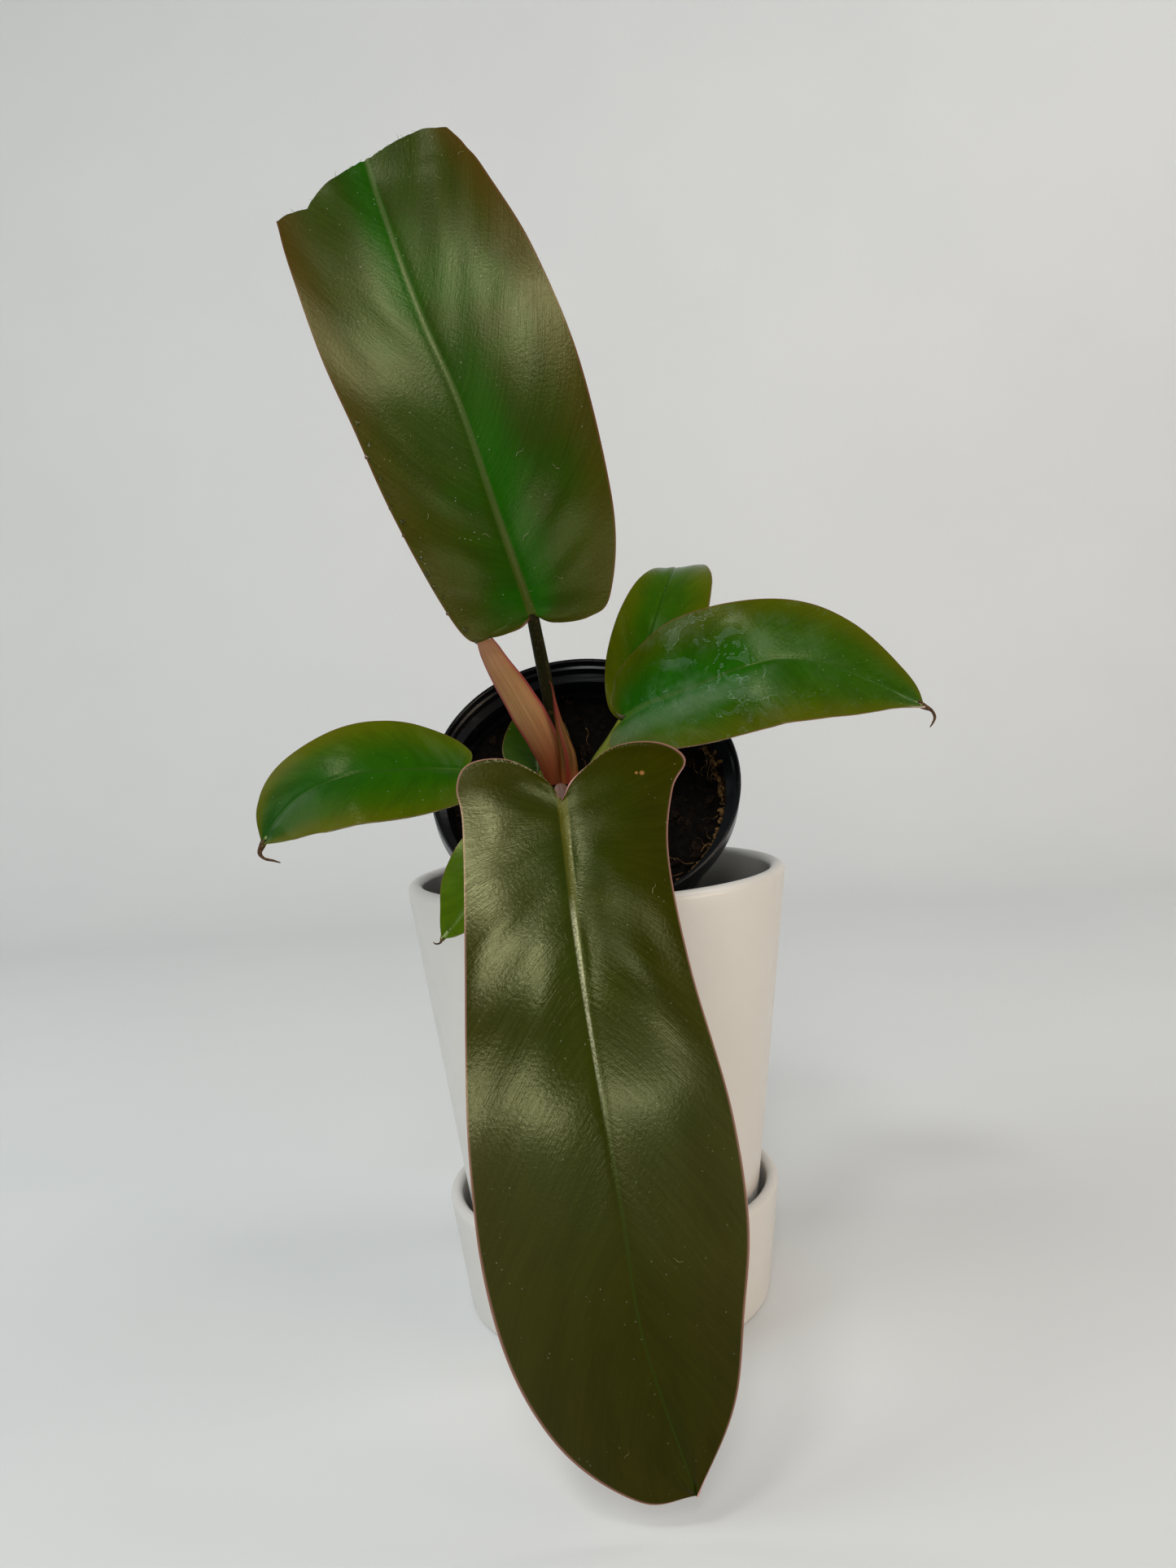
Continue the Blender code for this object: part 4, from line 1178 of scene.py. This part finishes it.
# %% [markdown]
# A philodendron leaf is leathery and waxed. Under the wax the green is uneven: olive and bronze towards the
# sides, and streaked along the veins. Light coming through the blade is painted into the colour, as vivid
# green patches and a stripe beside the midrib. Highlights break into streaks on the fine veins, so the same
# streaks also drive a small bump. Dust and old drops lie on top. One huge network would be hard to follow, so
# each layer is a method that paints over the tone so far.

# %% Leaf finish
DUSTY_PLACE = (-0.10, 0.33, 0.0)
RIB_ON_MAP = 0.0095


class LeafFinish(Finish):
    """The waxed upper side of a leaf, painted in layers on the two maps that its blade carries."""

    def __init__(self, name):
        super().__init__(name + "_upper", specular_tint=(1.0, 0.98, 0.50))
        self.at = self.place()
        self.u, self.v, _ = self.split(self.map())
        self.flat = self.map("flat_map")
        self.beside, self.up_blade, _ = self.split(self.flat)
        self.reach = self.times(self.gap(self.u, 0.5), 2.0)
        self.patch = self.noise(self.at, 17.0, detail=3.0, distortion=0.6)
        self.fine = self.grain(4, 150, rough=0.65)
        self.hair = self.grain(14, 420, detail=2.0, rough=0.6)

    def paint_greens(self, heart, side, tip, backlit_green, bronze):
        """Heart to side, with vivid patches of painted light that comes through the blade, browner or greener
        towards the tip.
        """
        outward = self.math("ADD", self.reach, self.times(self.math("SUBTRACT", self.patch, 0.5), 1.2))
        self.tone = self.mix(self.fade(outward, 0.15, 1.0, 0.0, bronze + 0.35), heart, side)
        # Painted light: vivid patches where light shines through the blade.
        glow = self.fade(self.noise(self.at, 26.0, detail=2.0), 0.50, 0.72, 0.0, 0.75)
        self.paint(self.times(glow, self.fade(self.reach, 0.2, 0.9, 1.0, 0.25)), backlit_green)
        self.paint(self.fade(self.v, 0.55, 1.0, 0.0, 0.7), tip)

    def paint_backlit_stripe(self, backlit_stripe, backlit_green):
        """A stripe of painted light coming through the blade: vivid green on the right of the midrib, and on
        its left near the top.
        """
        right = self.times(self.fade(self.u, 0.49, 0.52), self.fade(self.u, 0.58, 0.72, backlit_stripe, 0.0))
        low = self.fade(self.v, 0.55, 0.85, 1.0, 0.0)
        left = self.times(self.fade(self.u, 0.30, 0.45), self.fade(self.u, 0.50, 0.53, 1.0, 0.0))
        high = self.fade(self.v, 0.70, 0.85, 0.0, backlit_stripe)
        self.paint(self.math("MAXIMUM", self.times(right, low), self.times(left, high)), backlit_green)

    def paint_veins(self):
        """Dark streaks and fine pale ones, as the side veins run."""
        broad = self.grain(3, 12, rough=0.6)
        self.paint(self.fade(broad, 0.3, 0.75, 0.0, 0.25), (0.0, 0.0, 0.0), "SOFT_LIGHT")
        self.paint(self.fade(self.fine, 0.35, 0.75, 0.0, 0.22), (0.9, 0.9, 0.5), "SOFT_LIGHT")

    def paint_midrib(self, rib, rib_tip, rib_size, gleam):
        """The midrib, with a painted highlight, a pale gleam, along one side of it."""
        width = self.fade(self.v, 0.0, 1.0, *(size * RIB_ON_MAP for size in rib_size))
        across_rib = self.math("DIVIDE", self.beside, width)
        on_rib = self.fade(self.math("ABSOLUTE", across_rib), 0.6, 1.25, 1.0, 0.0)
        self.paint(self.times(on_rib, 0.85), self.mix(self.fade(self.v, 0.1, 0.8), rib, rib_tip))
        if gleam:
            # Painted highlight: light catching the ridge along one side of the midrib, laid on as pale dots.
            one_side = self.fade(across_rib, -0.6, -0.1)
            starts = self.fade(self.up_blade, 0.28, 0.38)
            ends = self.fade(self.up_blade, 0.66, 0.95, gleam, 0.0)
            dots = self.fade(self.noise(self.at, 1600.0, detail=3.0), 0.38, 0.60, 0.35, 1.0)
            self.paint(self.times(on_rib, one_side, starts, ends, dots), (0.36, 0.36, 0.23))

    def lay_dust(self, haze, dusting):
        """A film of haze, thickest round one place, and specks of dust in patches."""
        self.dusty = self.fade(self.away(self.flat, DUSTY_PLACE), 0.16, 0.42, 1.0, 0.12)
        clouds = self.noise(self.at, 45.0, detail=6.0, rough=0.65)
        self.film = self.times(self.fade(clouds, 0.46, 0.76, 0.0, haze), self.dusty)
        self.paint(self.film, (0.105, 0.17, 0.09))
        specks = self.fade(self.cells(self.at, 420.0), 0.03, 0.11, dusting, 0.0)
        in_patches = self.fade(self.noise(self.at, 70.0), 0.48, 0.60)
        self.paint(self.times(specks, in_patches), (0.42, 0.44, 0.33))

    def lay_dried_drops(self, blots):
        """The wavy rims that dried drops leave, and one long streak beside the midrib."""
        drops = self.noise(self.at, 120.0, detail=3.0, distortion=1.4)
        rim = self.fade(self.gap(drops, 0.56), 0.0, 0.014, blots, 0.0)
        inside = self.fade(drops, 0.55, 0.64, 0.0, 0.22 * blots)
        here = self.times(self.fade(self.noise(self.at, 40.0, detail=4.0), 0.42, 0.56), self.dusty)
        self.paint(self.times(self.math("MAXIMUM", rim, inside), here), (0.26, 0.34, 0.27))
        streak = self.times(self.fade(self.beside, 0.015, 0.05), self.fade(self.beside, 0.07, 0.13, 1.0, 0.0))
        low = self.fade(self.up_blade, 0.30, 0.62, 0.45, 0.0)
        broken = self.fade(self.hair, 0.3, 0.6, 0.4, 1.0)
        self.paint(self.times(streak, low, broken), (0.11, 0.17, 0.09))

    def stipple_lobes(self, gleam):
        """Pale stipple by the lobes' edges, weaker on the left."""
        band = self.times(self.fade(self.reach, 0.92, 0.95), self.fade(self.v, 0.06, 0.16, 1.0, 0.0))
        weaker_left = self.fade(self.u, 0.4, 0.6, 0.35, 1.0)
        dots = self.fade(self.noise(self.at, 2200.0, detail=2.0), 0.50, 0.60, 0.0, 0.7)
        self.paint(self.times(band, weaker_left, dots, gleam), (0.38, 0.36, 0.22))

    def paint_spot(self, x, y, size):
        """A small brown spot at a place on the flat pattern."""
        near = self.fade(self.away(self.flat, (x, y, 0)), 0.5 * size, size, 0.8, 0.0)
        self.paint(near, (0.27, 0.12, 0.04))

    def paint_margin(self, edge, flush, flushed):
        """A thin coloured edge, and a flush inside it that grows towards the tip."""
        self.paint(self.fade(self.reach, 0.975, 0.998, 0.0, 0.6), edge)
        towards_tip = self.fade(self.v, 0.25, 0.75, 0.25, 1.0)
        self.paint(self.times(self.fade(self.reach, 0.65, 1.0, 0.0, flush), towards_tip), flushed)

    def texture(self, size):
        """Fine relief along the veins and uneven roughness, duller under the haze."""
        rough = self.math("ADD", self.fade(self.patch, 0.3, 0.7, 0.16, 0.23), self.times(self.film, 0.3))
        rough = self.math("ADD", rough, self.fade(self.fine, 0.3, 0.7, 0.0, 0.06))
        relief = self.bump(self.fine, 0.035 * MM * size)
        relief = self.bump(self.hair, 0.030 * MM * size, relief)
        relief = self.bump(self.noise(self.at, 1000.0, detail=4.0), 0.050 * MM, relief)
        self.set(base_color=self.tone, roughness=rough, normal=relief)

    def wax(self, wax, bare, bare_top, bare_half):
        """The gloss, from base to tip, and where it is worn off: low down, at the top, on one half."""
        low = self.fade(self.up_blade, *bare, 1.0)
        top = self.fade(self.up_blade, bare_top[0], bare_top[1], 1.0, bare_top[2])
        waxed = self.times(self.fade(self.v, 0.55, 0.95, *wax), low, top)
        if bare_half:
            one_half = self.fade(self.beside, -0.08, 0.0, 1.0, 0.0)
            worn = self.times(one_half, self.fade(self.up_blade, 0.45, 0.7, bare_half, 0.0))
            waxed = self.times(waxed, self.math("SUBTRACT", 1.0, worn))
        self.set(specular_ior_level=waxed)


# %% [markdown]
# The layers go on in the order in which they came: the green of the leaf first, then its veins and midrib,
# then what fell on it, the worn edge, and last the wax. A leaf names only what it has.

# %% One leaf's layers
def leaf_upper(name, heart, side, tip, backlit_green, rib, rib_tip, rib_size, size=1.0, bronze=0.5, backlit_stripe=0.0,
               flush=0.0, flushed=(0.075, 0.034, 0.006), edge=(0.16, 0.05, 0.03), gleam=0.0, spots=(),
               haze=0.0, blots=0.0, dusting=0.4, wax=(0.24, 0.15), bare=(-0.1, 0.1, 1.0),
               bare_top=(3.0, 3.1, 1.0), bare_half=0.0):
    """The upper finish of one leaf, from its greens up to its wax."""
    leaf = LeafFinish(name)
    leaf.paint_greens(heart, side, tip, backlit_green, bronze)
    # Painted light: a vivid stripe where light comes through the blade beside the midrib.
    if backlit_stripe:
        leaf.paint_backlit_stripe(backlit_stripe, backlit_green)
    leaf.paint_veins()
    leaf.paint_midrib(rib, rib_tip, rib_size, gleam)
    leaf.lay_dust(haze, dusting)
    if blots:
        leaf.lay_dried_drops(blots)
    if gleam:
        leaf.stipple_lobes(gleam)
    for spot in spots:
        leaf.paint_spot(*spot)
    leaf.paint_margin(edge, flush, flushed)
    leaf.texture(size)
    leaf.wax(wax, bare, bare_top, bare_half)
    return leaf.material


# %% [markdown]
# The underside is duller and paler, with a midrib that stands out. The rim, as thin as the blade, gets a
# finish of its own, since its pink or tan line is what draws a leaf's outline from the front.

# %% Undersides and rims
def leaf_under(name, pale, flush, rib):
    """The underside, flushed in patches, with a pale midrib."""
    leaf = Finish(name + "_under", specular_ior_level=0.35, roughness=0.55)
    out = leaf.math("ABSOLUTE", leaf.split(leaf.map(name="flat_map"))[0])
    patch = leaf.fade(leaf.noise(leaf.place(), 20.0, detail=4.0), 0.35, 0.7)
    fine = leaf.grain(5, 130, rough=0.65)
    leaf.tone = leaf.mix(patch, pale, flush)
    leaf.paint(leaf.fade(fine, 0.4, 0.8, 0.0, 0.35), (0.85, 0.8, 0.6), "SOFT_LIGHT")
    leaf.paint(leaf.fade(out, 0.006, 0.022, 0.9, 0.0), rib)
    leaf.set(base_color=leaf.tone, normal=leaf.bump(fine, 0.15 * MM))
    return leaf.material


def margin_finish(name, deep, pale):
    """The thin rim of a blade."""
    rim = Finish(name + "_margin", roughness=0.45)
    along = rim.grain(1, 30, detail=3.0)
    rim.set(base_color=rim.mix(rim.fade(along, 0.35, 0.65), deep, pale))
    return rim.material


# %% [markdown]
# No two leaves are alike: the oldest are olive and bronze, the side leaves a vivid green, and the front
# leaf is the darkest. Each has its own colours and wear, while undersides and rims mostly share theirs.

# %% Leaf colours
LOOKS = {
    "upright": dict(heart=(0.013, 0.036, 0.0004), side=(0.031, 0.032, 0.0006), tip=(0.020, 0.036, 0.001),
                    backlit_stripe=0.75, backlit_green=(0.006, 0.068, 0.0005), rib=(0.034, 0.040, 0.003),
                    rib_tip=(0.040, 0.072, 0.014), bronze=0.5, flush=0.5, bare=(0.35, 0.85, 0.30),
                    wax=(0.25, 0.19), dusting=0.5, bare_top=(1.15, 1.45, 0.3)),
    "front": dict(heart=(0.020, 0.026, 0.0003), side=(0.024, 0.022, 0.0004), tip=(0.022, 0.017, 0.0002),
                  backlit_green=(0.014, 0.026, 0.0006), rib=(0.062, 0.058, 0.003), rib_tip=(0.018, 0.030, 0.0008),
                  bronze=0.45, gleam=0.8, spots=[(-0.238, -0.058, 0.009), (-0.222, -0.060, 0.006)],
                  edge=(0.36, 0.17, 0.14), bare=(-0.08, 0.0, 0.15), wax=(0.28, 0.09), dusting=0.28,
                  bare_half=0.75),
    "left": dict(heart=(0.014, 0.070, 0.0005), side=(0.052, 0.082, 0.001), tip=(0.010, 0.052, 0.010),
                 bronze=0.6, backlit_green=(0.010, 0.060, 0.004), rib=(0.024, 0.075, 0.003),
                 rib_tip=(0.016, 0.058, 0.004), flush=0.62, flushed=(0.090, 0.080, 0.002),
                 wax=(0.07, 0.10)),
    "right": dict(heart=(0.012, 0.066, 0.0006), side=(0.046, 0.066, 0.001), tip=(0.024, 0.064, 0.001),
                  bronze=0.6, backlit_green=(0.008, 0.085, 0.001), rib=(0.035, 0.095, 0.008),
                  rib_tip=(0.018, 0.065, 0.002), flush=0.45, flushed=(0.085, 0.075, 0.002), haze=0.5,
                  blots=0.45, wax=(0.07, 0.20)),
    "back": dict(heart=(0.022, 0.080, 0.0008), side=(0.082, 0.098, 0.001), tip=(0.050, 0.098, 0.001),
                 bronze=0.65, backlit_green=(0.014, 0.070, 0.001), rib=(0.025, 0.075, 0.004),
                 rib_tip=(0.016, 0.060, 0.002), wax=(0.08, 0.12)),
    "small": dict(heart=(0.034, 0.085, 0.001), side=(0.050, 0.095, 0.001), tip=(0.050, 0.095, 0.001),
                  backlit_green=(0.014, 0.065, 0.001), rib=(0.060, 0.105, 0.006), rib_tip=(0.045, 0.095, 0.004)),
    "inner": dict(heart=(0.012, 0.040, 0.001), side=(0.020, 0.050, 0.001), tip=(0.022, 0.060, 0.002),
                  backlit_green=(0.016, 0.065, 0.001), rib=(0.040, 0.080, 0.004), rib_tip=(0.030, 0.070, 0.003)),
}
UNDERSIDES = {
    "upright": ((0.075, 0.085, 0.025), (0.120, 0.060, 0.030), (0.20, 0.17, 0.08)),
    "front": ((0.085, 0.060, 0.025), (0.120, 0.040, 0.025), (0.26, 0.15, 0.09)),
}
GREEN_UNDERSIDE = ((0.080, 0.130, 0.030), (0.110, 0.120, 0.035), (0.19, 0.24, 0.07))
MARGINS = {
    "upright": ((0.09, 0.03, 0.02), (0.20, 0.09, 0.06)),
    "front": ((0.34, 0.13, 0.12), (0.52, 0.28, 0.24)),
    "right": ((0.22, 0.17, 0.12), (0.42, 0.33, 0.26)),
}
GREEN_MARGIN = ((0.10, 0.12, 0.03), (0.22, 0.20, 0.08))
SLOTS = {"left": "side_leaf", "right": "side_leaf", "small": "young_leaf", "inner": "young_leaf"}
for name, piece in pieces.items():
    size = blades[name].length / blades["front"].length
    piece.data.materials[0] = leaf_upper(name, rib_size=LEAVES[name]["rib"], size=size, **LOOKS[name])
    piece.data.materials[1] = leaf_under(name, *UNDERSIDES.get(name, GREEN_UNDERSIDE))
    piece.data.materials[2] = margin_finish(name, *MARGINS.get(name, GREEN_MARGIN))
    belong(piece, SLOTS.get(name, name + "_leaf"), name + "_leaf")

# %% [markdown]
# The sheath, or cataphyll, wrapped the last leaf before it opened, and now stands beside its stalk like a
# narrow boat. It is a thin grid arched across, thickened, with pink that deepens to crimson at its edges.

# %% Sheath
SHEATH_ROUTE = [(-2.2, -1.2, 1.5), (-5, -3.5, 14), (-13, -6, 31), (-20.5, -8, 45), (-27, -9, 60)]
SHEATH_WIDTHS = (3.2, 5.0, 5.7, 4.9, 3.4, 0.5)
SHEATH_DEPTHS = (1.9, 2.3, 2.2, 1.7, 1.1, 0.2)
SHEATH_ARCH = math.radians(78)
SHEATH_ROWS = 110

sheath, across, along = lay_grid("sheath", 28, SHEATH_ROWS)
line = smooth_line(from_crown(SHEATH_ROUTE), SHEATH_ROWS)
sides, fronts = carry(line, (1, 0, 0))
row = np.rint(along * SHEATH_ROWS).astype(int)
angle = SHEATH_ARCH * (2 * across - 1)
to_side = read_along(SHEATH_WIDTHS, along) * MM * np.sin(angle) / math.sin(SHEATH_ARCH)
to_front = read_along(SHEATH_DEPTHS, along) * MM * (np.cos(angle) * 2 - 1)
to_front += 0.08 * MM * np.sin(across * 40) * np.sin(np.pi * across)
facing = fronts * np.sign(-fronts[:, 1:2].mean())
put_points(sheath, line[row] + sides[row] * to_side[:, None] + facing[row] * to_front[:, None])
merge_doubles(sheath)
apply_modifier(sheath, "SOLIDIFY", thickness=0.55 * MM, offset=0)
edit(sheath)
bpy.ops.mesh.normals_make_consistent(inside=False)
settle(sheath, "sheath", 60)

peel = Finish("sheath_skin", specular_ior_level=0.3, specular_tint=(1.0, 0.85, 0.6), roughness=0.5)
u, v, _ = peel.split(peel.map())
fibre = peel.grain(24, 1.6, rough=0.6)
spot = peel.noise(peel.place(), 260.0, detail=4.0)
from_middle = peel.times(peel.gap(u, 0.5), 2.0)
peel.tone = peel.mix(peel.fade(fibre, 0.3, 0.7), (0.180, 0.085, 0.027), (0.285, 0.142, 0.058))
peel.paint(peel.fade(spot, 0.45, 0.7, 0.0, 0.35), (0.26, 0.080, 0.035))
peel.paint(peel.fade(v, 0.05, 0.50, 0.95, 0.0), (0.125, 0.020, 0.003))
peel.paint(peel.fade(v, 0.60, 0.95, 0.0, 0.85), (0.34, 0.15, 0.085))
peel.paint(peel.fade(from_middle, 0.60, 0.90, 0.0, 0.9), (0.21, 0.020, 0.026))
peel.set(base_color=peel.tone, normal=peel.bump(fibre, 0.08 * MM), subsurface_weight=0.05)
dress(sheath, peel.material, "pink_sheath", "pink_sheath")

# %% [markdown]
# The newest leaf is still rolled up tight. Its skin is a roll whose free edge shows as a step down the
# front, and its tip ends in a tiny curl.

# %% Rolled shoot
SHOOT_ROUTE = [(2.6, -3.5, 1.5), (2.4, -5.2, 11), (0.5, -6, 20), (-0.8, -6, 28), (-1.7, -6.1, 35),
               (-2.6, -6.3, 36.6)]
SHOOT_WIDTHS = (3.0, 3.1, 2.8, 2.2, 1.5, 0.9, 0.35, 0.15)
SHOOT_DEPTHS = (2.2, 2.1, 1.7, 1.4, 1.1, 0.7, 0.3, 0.15)


def rolled_up(angle, share):
    """An oval whose skin rises slowly round it, up to the step of its free edge."""
    size = (1 + 0.16 * ((angle / (2 * np.pi) + 0.28) % 1)) / 1.1 * MM
    return oval(angle, read_along(SHOOT_WIDTHS, share) * size, read_along(SHOOT_DEPTHS, share) * size)


shoot = roll("rolled_shoot", from_crown(SHOOT_ROUTE), rolled_up, 48, 110)
bud = Finish("shoot_skin", specular_ior_level=0.35, specular_tint=(1.0, 0.7, 0.4), roughness=0.38)
u, v, _ = bud.split(bud.map())
fibre = bud.grain(30, 1.4)
bud.tone = bud.mix(bud.fade(fibre, 0.3, 0.7), (0.042, 0.013, 0.001), (0.080, 0.030, 0.004))
bud.paint(bud.fade(v, 0.55, 0.74), bud.mix(fibre, (0.055, 0.0015, 0.003), (0.11, 0.004, 0.007)))
bud.paint(bud.fade(v, 0.0, 0.22, 0.85, 0.0), (0.16, 0.035, 0.008))
fold = bud.gap(u, 0.72)
bud.paint(bud.fade(fold, 0.01, 0.05, 0.8, 0.0), (0.12, 0.004, 0.007))
bud.set(base_color=bud.tone, normal=bud.bump(fibre, 0.1 * MM))
dress(shoot, bud.material, "red_shoot", "red_shoot")

# %% [markdown]
# Small things make the plant real. Philodendron leaves end in a long drip tip, and on three of these it
# has dried, browned and curled. Each is a tapering tube that starts inside the end of its blade.

# %% Dried tips
TIPS = {
    "left": dict(size=1.0, turns=[(0, 0, 0), (-1.0, 0, -2.4), (0.4, -0.2, -4.2), (3.2, -0.4, -5.0),
                                  (5.4, -0.4, -5.8)]),
    "right": dict(size=1.1, turns=[(0, 0, 0), (2.2, -0.3, -1.4), (3.2, -0.5, -3.6), (2.4, -0.6, -5.6),
                                   (1.4, -0.6, -7.0)]),
    "small": dict(size=0.6, turns=[(0, 0, 0), (-0.7, -0.2, -0.9), (-1.9, -0.3, -1.0), (-2.6, -0.3, -0.4)]),
}
dried = earth("dried_tip", (0.035, 0.018, 0.010), (0.14, 0.075, 0.040), 900.0, 0.1 * MM)


def tapering(size):
    """The section of a dried tip: flat, crumpled and thinner towards its end."""
    def section(angle, share):
        radius = size * MM * (1 - 0.85 * share) * (1 + 0.2 * np.sin(2 * angle + 9 * share))
        return oval(angle, radius, 0.55 * radius)
    return section


for name, tip in TIPS.items():
    midrib = blades[name].line
    turns = np.array(tip["turns"]) * MM + midrib[-1]
    piece = roll(name + "_dried_tip", [midrib[-4], *turns], tapering(tip["size"]), 12, 36)
    dress(piece, dried, SLOTS[name])

# %% [markdown]
# Drops of water hang along the low edge of the upright leaf. One flattened ball is modelled, and its copies
# sit on the skin and face the way the skin does. Water bends light less than glass, and has no colour.

# %% Drops of water
DROP_ROWS = np.linspace(0.10, 0.62, 17)


def drop_places():
    """Places just inside the left edge of the upright leaf."""
    for k, vein in enumerate(DROP_ROWS):
        across = -0.955 + 0.035 * math.sin(3.7 * k)
        size = (0.50 + 0.40 * abs(math.sin(2.3 * k))) * MM
        yield np.array([across]), np.array([vein + 0.008 * math.sin(5 * k)]), size


start_fresh()
bpy.ops.mesh.primitive_uv_sphere_add(segments=16, ring_count=10, radius=1)
drop_model = bpy.context.object
edit(drop_model)
bpy.ops.transform.resize(value=(1, 1, 0.72), center_override=(0, 0, 0))
leave_edit()
drops = []
for across, vein, size in drop_places():
    place, normal = blades["upright"].upper_skin(across, vein, 0.3 * size)
    facing = Vector(normal[0]).to_track_quat("Z", "Y").to_matrix().to_4x4()
    drops.append(Matrix.Translation(place[0]) @ facing @ Matrix.Scale(size, 4))
water = strew(drop_model, "water_drops", drops, 60)
wet = Finish("water", roughness=0.03, ior=1.33, transmission_weight=1.0, base_color=(0.96, 0.99, 0.97))
dress(water, wet.material, "upright_leaf")

# %% [markdown]
# Where the top of the upright leaf broke off, pale fibres stand out of the edge. They are the thread that
# the roots came from, in short lengths that point out of the tear and a little astray.

# %% Torn fibres
TORN_FIBRES = 34


def fibre_places():
    """Places along the broken edge, pointing out of it and a little astray."""
    blade = blades["upright"]
    for across in np.linspace(-0.97, 0.95, TORN_FIBRES):
        across += rng.uniform(-0.02, 0.02)
        out, along = blade.flat(np.array([across, across]), np.array([1.0, 0.985]))
        (edge, inner), _ = blade.bend(out, along)
        outwards = unit(edge - inner) + rng.uniform(-0.7, 0.7, 3)
        length = (0.5 + 1.6 * rng.uniform(0, 1) ** 3) * MM
        turn = Vector(outwards).to_track_quat("X", "Z").to_matrix().to_4x4()
        yield Matrix.Translation(edge) @ turn @ Matrix.Scale(length, 4)


fibres = strew(model_thread("fibre", 0.10), "torn_fibres", list(fibre_places()), 60)
fibre_finish = earth("fibre_skin", (0.12, 0.13, 0.04), (0.35, 0.34, 0.20), 900.0, 0.02 * MM)
dress(fibres, fibre_finish, "upright_leaf")

# %% [markdown]
# Lint has settled on the two big leaves. It lies flat on the skin, turned any way, and is barely seen,
# but without it the blades look newly made.

# %% Lint
LINT = {"upright": 16, "front": 12}
LINT_LENGTHS = (1.4 * MM, 4.0 * MM)
LINT_THICKNESS = 0.045


def lint_places(name, count):
    """Places where fluff has settled on a leaf's upper side."""
    across = rng.uniform(-0.9, 0.9, count)
    vein = rng.uniform(0.15, 0.95, count)
    points, normals = blades[name].upper_skin(across, vein, 0.05 * MM)
    for point, normal in zip(points, normals):
        lying = Vector(normal).to_track_quat("Z", "X").to_matrix().to_4x4()
        turned = Matrix.Translation(point) @ lying @ any_twist()
        yield turned @ Matrix.Scale(rng.uniform(*LINT_LENGTHS), 4)


for name, count in LINT.items():
    lint = strew(model_thread("lint", LINT_THICKNESS), name + "_lint", list(lint_places(name, count)), 60)
    dress(lint, fibre_finish, name + "_leaf")

# %% [markdown]
# The looks' box less the frame's box is printed, corner by corner, so that the looks can be held against the
# frame.

# %% Sizes, and the end
look_low, look_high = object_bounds()
grown = [round((b - a) / MM, 1) for a, b in zip([*cad_low, *cad_high], [*look_low, *look_high])]
print("looks less frame, mm:", grown)
